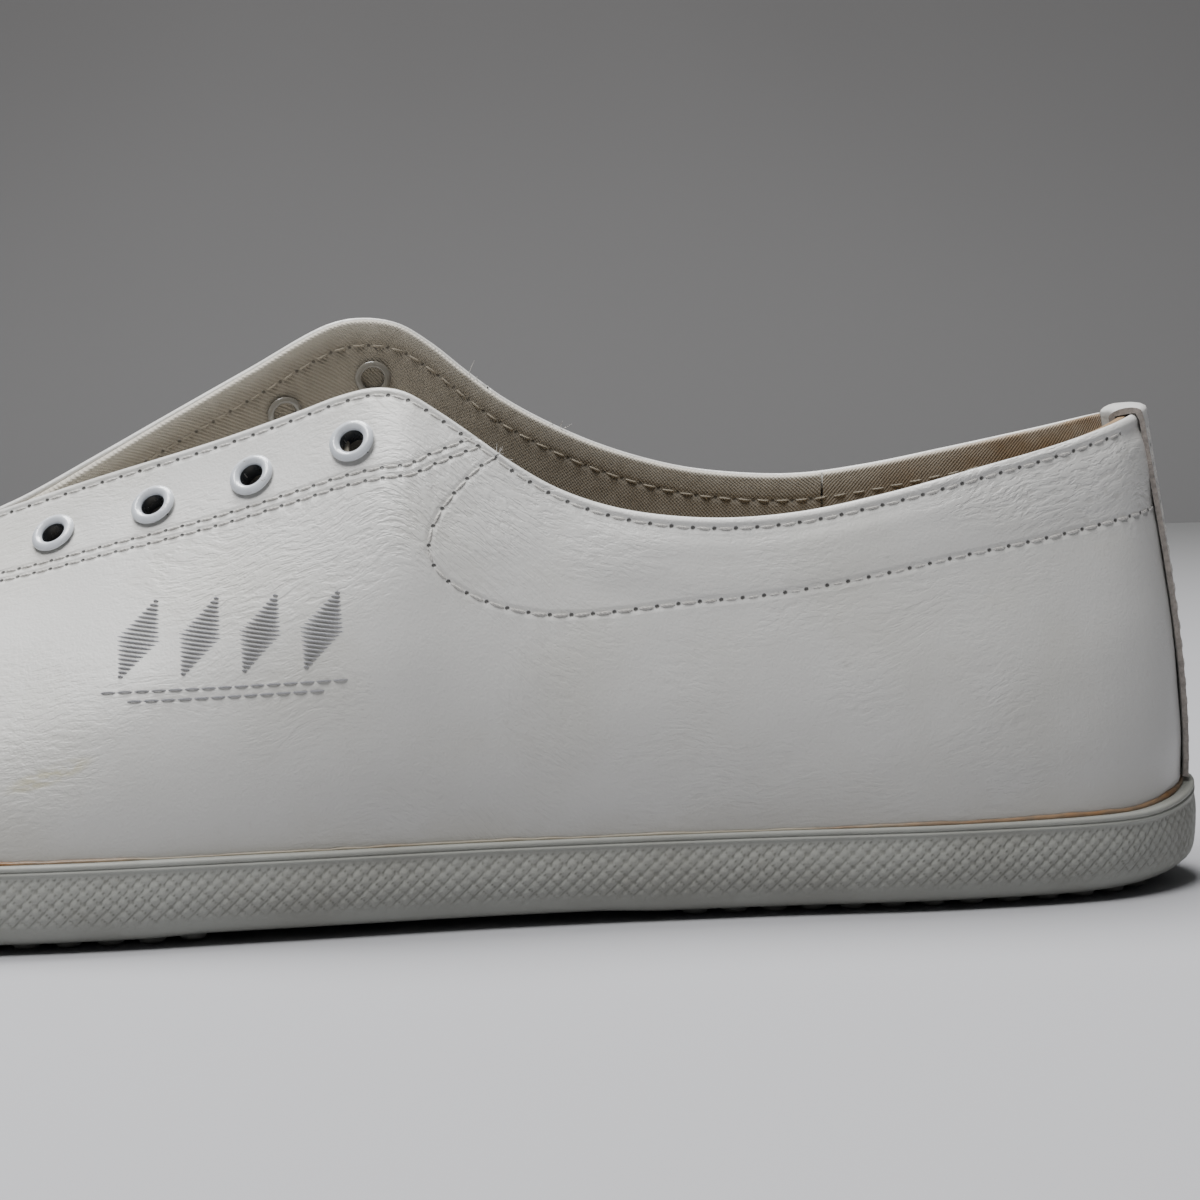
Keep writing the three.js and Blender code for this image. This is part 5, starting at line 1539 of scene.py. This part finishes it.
lining_seams = {}
for side in SIDES:
    s = np.linspace(208, 115.6, 220)
    q = q_at(s)
    seams = {
        "edge": (edge_seam(side), SINGLE),
        "facing": (strip_line(side, q, under_edge(side, q, FACING_SEAM(s)), DOUBLE_PITCH), DOUBLE),
        "collar": (collar_seam(side), SINGLE),
        "front": (front_seam(side), DOUBLE),
    }
    quarter(side, seams)
    q = spread(side, float(q_at(205)), float(q_at(12)), 1.0, 1.0)
    v = under_edge(side, q, LINING_SEAM_DROP)
    lining_seams[side] = Seam(at_depth(side, q, v, np.full(len(q), LINING_OUT)),
                              -normal(side, q, v), EDGE_PITCH)
    for name, (seam, rows) in seams.items():
        strands = [stitch_paths(seam, row) for row in rows]
        if name != "front":
            share, drop = (0.32, 0.04) if name == "edge" else (1.0, 0.0)
            strands = [on_dents(row, seam, share, drop) for row in strands]
        tubes(f"{name}_stitches_{side}", np.concatenate(strands), THREAD_RADII, white_thread)
    tubes(f"lining_stitches_{side}", stitch_paths(lining_seams[side], share=0.72), THREAD_RADII,
          lining_thread)

vamp()
for seam_number, seam in enumerate(heel_strip()):
    tubes(f"strip_stitches_{seam_number}", stitch_paths(seam, lift=0.0), THREAD_RADII, white_thread)

LINING_STEPS = [0.1, 0.2, 0.35, 0.6, 0.8, 1.2, 1.8, 2.4, 3.2, 4.5, 6, 8, 10, 12, 14, 16, 18]
STAY_STEPS = [4.2, 4.6, 6, 8, 10, 12, 14, 16.5]
for side in SIDES:
    seam = lining_seams[side]
    side_sheet(f"{side}_twill", f"{side}_lining", side, LINING_SEAM - SEAM_GAP,
               HEEL_LINING_FRONT + SEAM_GAP, LINING_IN, LINING_OUT,
               twill(f"twill_{side}", LINING_COLOR, FUZZ_COLOR,
                     seams=[("edge", seam.pitch, seam.length, SINGLE)]),
               LINING_STEPS, 24, LINING_HOLE_RADIUS, seams={"edge": seam},
               wrapped=True)
    side_sheet(f"{side}_stay", f"{side}_eyestay", side, FACING_FRONT, FACING_REAR, STIFF_IN,
               STIFF_OUT, stiffener, STAY_STEPS, 1, LINING_HOLE_RADIUS,
               stop=slice(1, None))
toe_sheet("vamp_twill", "vamp_lining", LINING_SEAM, LINING_IN, LINING_OUT,
          twill("twill_vamp", LINING_COLOR))
toe_sheet("toe_stiffener", "toe_puff", PUFF_REAR, STIFF_IN, STIFF_OUT, stiffener)
side_sheet("heel_twill", "heel_lining", None, HEEL_LINING_FRONT, None, LINING_IN, LINING_OUT,
           twill("twill_heel", LINING_COLOR, FUZZ_COLOR,
                 (HEEL_STAIN, HEEL_X - HEEL_LINING_FRONT, HEEL_X - 22)),
           LINING_STEPS, wrapped=True)
side_sheet("counter_sheet", "heel_counter", None, COUNTER_FRONT, None, STIFF_IN, STIFF_OUT,
           stiffener, [22, 24], 16, stop=slice(1, -1))
side_sheet("collar_sheet", "collar_reinforcement", None, COLLAR_FRONT, None, STIFF_IN, STIFF_OUT,
           stiffener, STAY_STEPS, 1, stop=slice(1, None))

cup()
nubs()
BOARD_INSET = FEATHER_INSET + LEATHER + STIFFENER + LINING + 3 * GAP + 0.35
bed_low = FEATHER_Z + BOARD_THICKNESS + GAP
plate("board", "insole_board", BOARD_INSET, FEATHER_Z, FEATHER_Z + BOARD_THICKNESS,
      plain_fibre("fibreboard", (0.42, 0.32, 0.19)))
plate("footbed_cover", "footbed", BOARD_INSET, bed_low, bed_low + FOOTBED_THICKNESS,
      twill("footbed_fabric", (0.44, 0.39, 0.31), stain=(FOOTBED_STAIN, -160, -90)),
      0.8)
tongue()
eyelets()
motif()
glue_line()
loose_threads()


# ---------------------------------------------------------------- stage, lights and camera
def plane(name, corners, material):
    """A flat sheet of the stage."""
    mesh = bpy.data.meshes.new(name)
    mesh.from_pydata(corners, [], [(0, 1, 2, 3)])
    obj = bpy.data.objects.new(name, mesh)
    mesh.materials.append(material)
    bpy.context.scene.collection.objects.link(obj)


def stage_paint_with_light_falloff(name, near, far, axis, start, end):
    """Paper whose colour goes from one tone to another between two places along an axis, as painted
    light falloff.
    """
    sh = Shader(name, Specular_IOR_Level=0.2)
    tone = sh.mix(sh.between(sh.axes()[axis], start, end), near, far)
    tone = sh.mix(sh.between(sh.noise(300, 2), 0.3, 0.7, 0.0, 0.05), tone, (0.3, 0.3, 0.3))
    return sh.finish(tone, 0.7)


WIDE, DEEP, TALL = 3, 1.3, 3
# Painted light falloff: the floor darkens with distance behind the shoe, and the backdrop darkens
# upwards.
plane("floor", [(-WIDE, -3, 0), (WIDE, -3, 0), (WIDE, DEEP, 0), (-WIDE, DEEP, 0)],
      stage_paint_with_light_falloff("floor_painted_falloff", (0.42, 0.42, 0.437), (0.30, 0.30, 0.30), 1, 120, 1300))
plane("backdrop", [(-WIDE, DEEP, 0), (WIDE, DEEP, 0), (WIDE, DEEP, TALL), (-WIDE, DEEP, TALL)],
      stage_paint_with_light_falloff("backdrop_painted_falloff", (0.25, 0.247, 0.248), (0.14, 0.137, 0.136), 2, 0, 420))


def area_light(name, place, target, size, power):
    """A round soft light at a place, turned to a target."""
    lamp = bpy.data.lights.new(name, "AREA")
    lamp.shape, lamp.size, lamp.energy = "DISK", size, power
    obj = bpy.data.objects.new(name, lamp)
    obj.location = place
    obj.rotation_euler = (Vector(target) - Vector(place)).to_track_quat("-Z", "Y").to_euler()
    bpy.context.scene.collection.objects.link(obj)


area_light("key", (-0.2, -0.34, 1.08), (0, 0, 0.04), 0.6, 14)
area_light("back", (-0.1, 0.42, 1.25), (0, 0.05, 0.05), 0.8, 25)
world = bpy.data.worlds.new("studio")
world.use_nodes = True
background = world.node_tree.nodes["Background"].inputs
background["Color"].default_value, background["Strength"].default_value = (0.9, 0.95, 1.0, 1), 0.06
bpy.context.scene.world = world

VIEW_DISTANCE = 0.469  # from the camera to the shoe's middle plane
VIEW_HEIGHT, AIM_HEIGHT, AIM_X = 0.0788, 0.0477, 0.051
SENSOR, FOCAL = 36.0, 84.9
ROLL = math.radians(-1.55)
lens = bpy.data.cameras.new("camera")
lens.lens, lens.sensor_width, lens.clip_start, lens.clip_end = FOCAL, SENSOR, 0.01, 20
camera = bpy.data.objects.new("camera", lens)
middle_y = (CAD_LOW.y + CAD_HIGH.y) / 2
camera.location = (AIM_X, middle_y - VIEW_DISTANCE, VIEW_HEIGHT)
aim = Vector((AIM_X, middle_y, AIM_HEIGHT)) - camera.location
turned = aim.to_track_quat("-Z", "Y").to_matrix().to_4x4() @ Matrix.Rotation(ROLL, 4, "Z")
camera.rotation_euler = turned.to_euler()
bpy.context.scene.collection.objects.link(camera)
bpy.context.scene.camera = camera
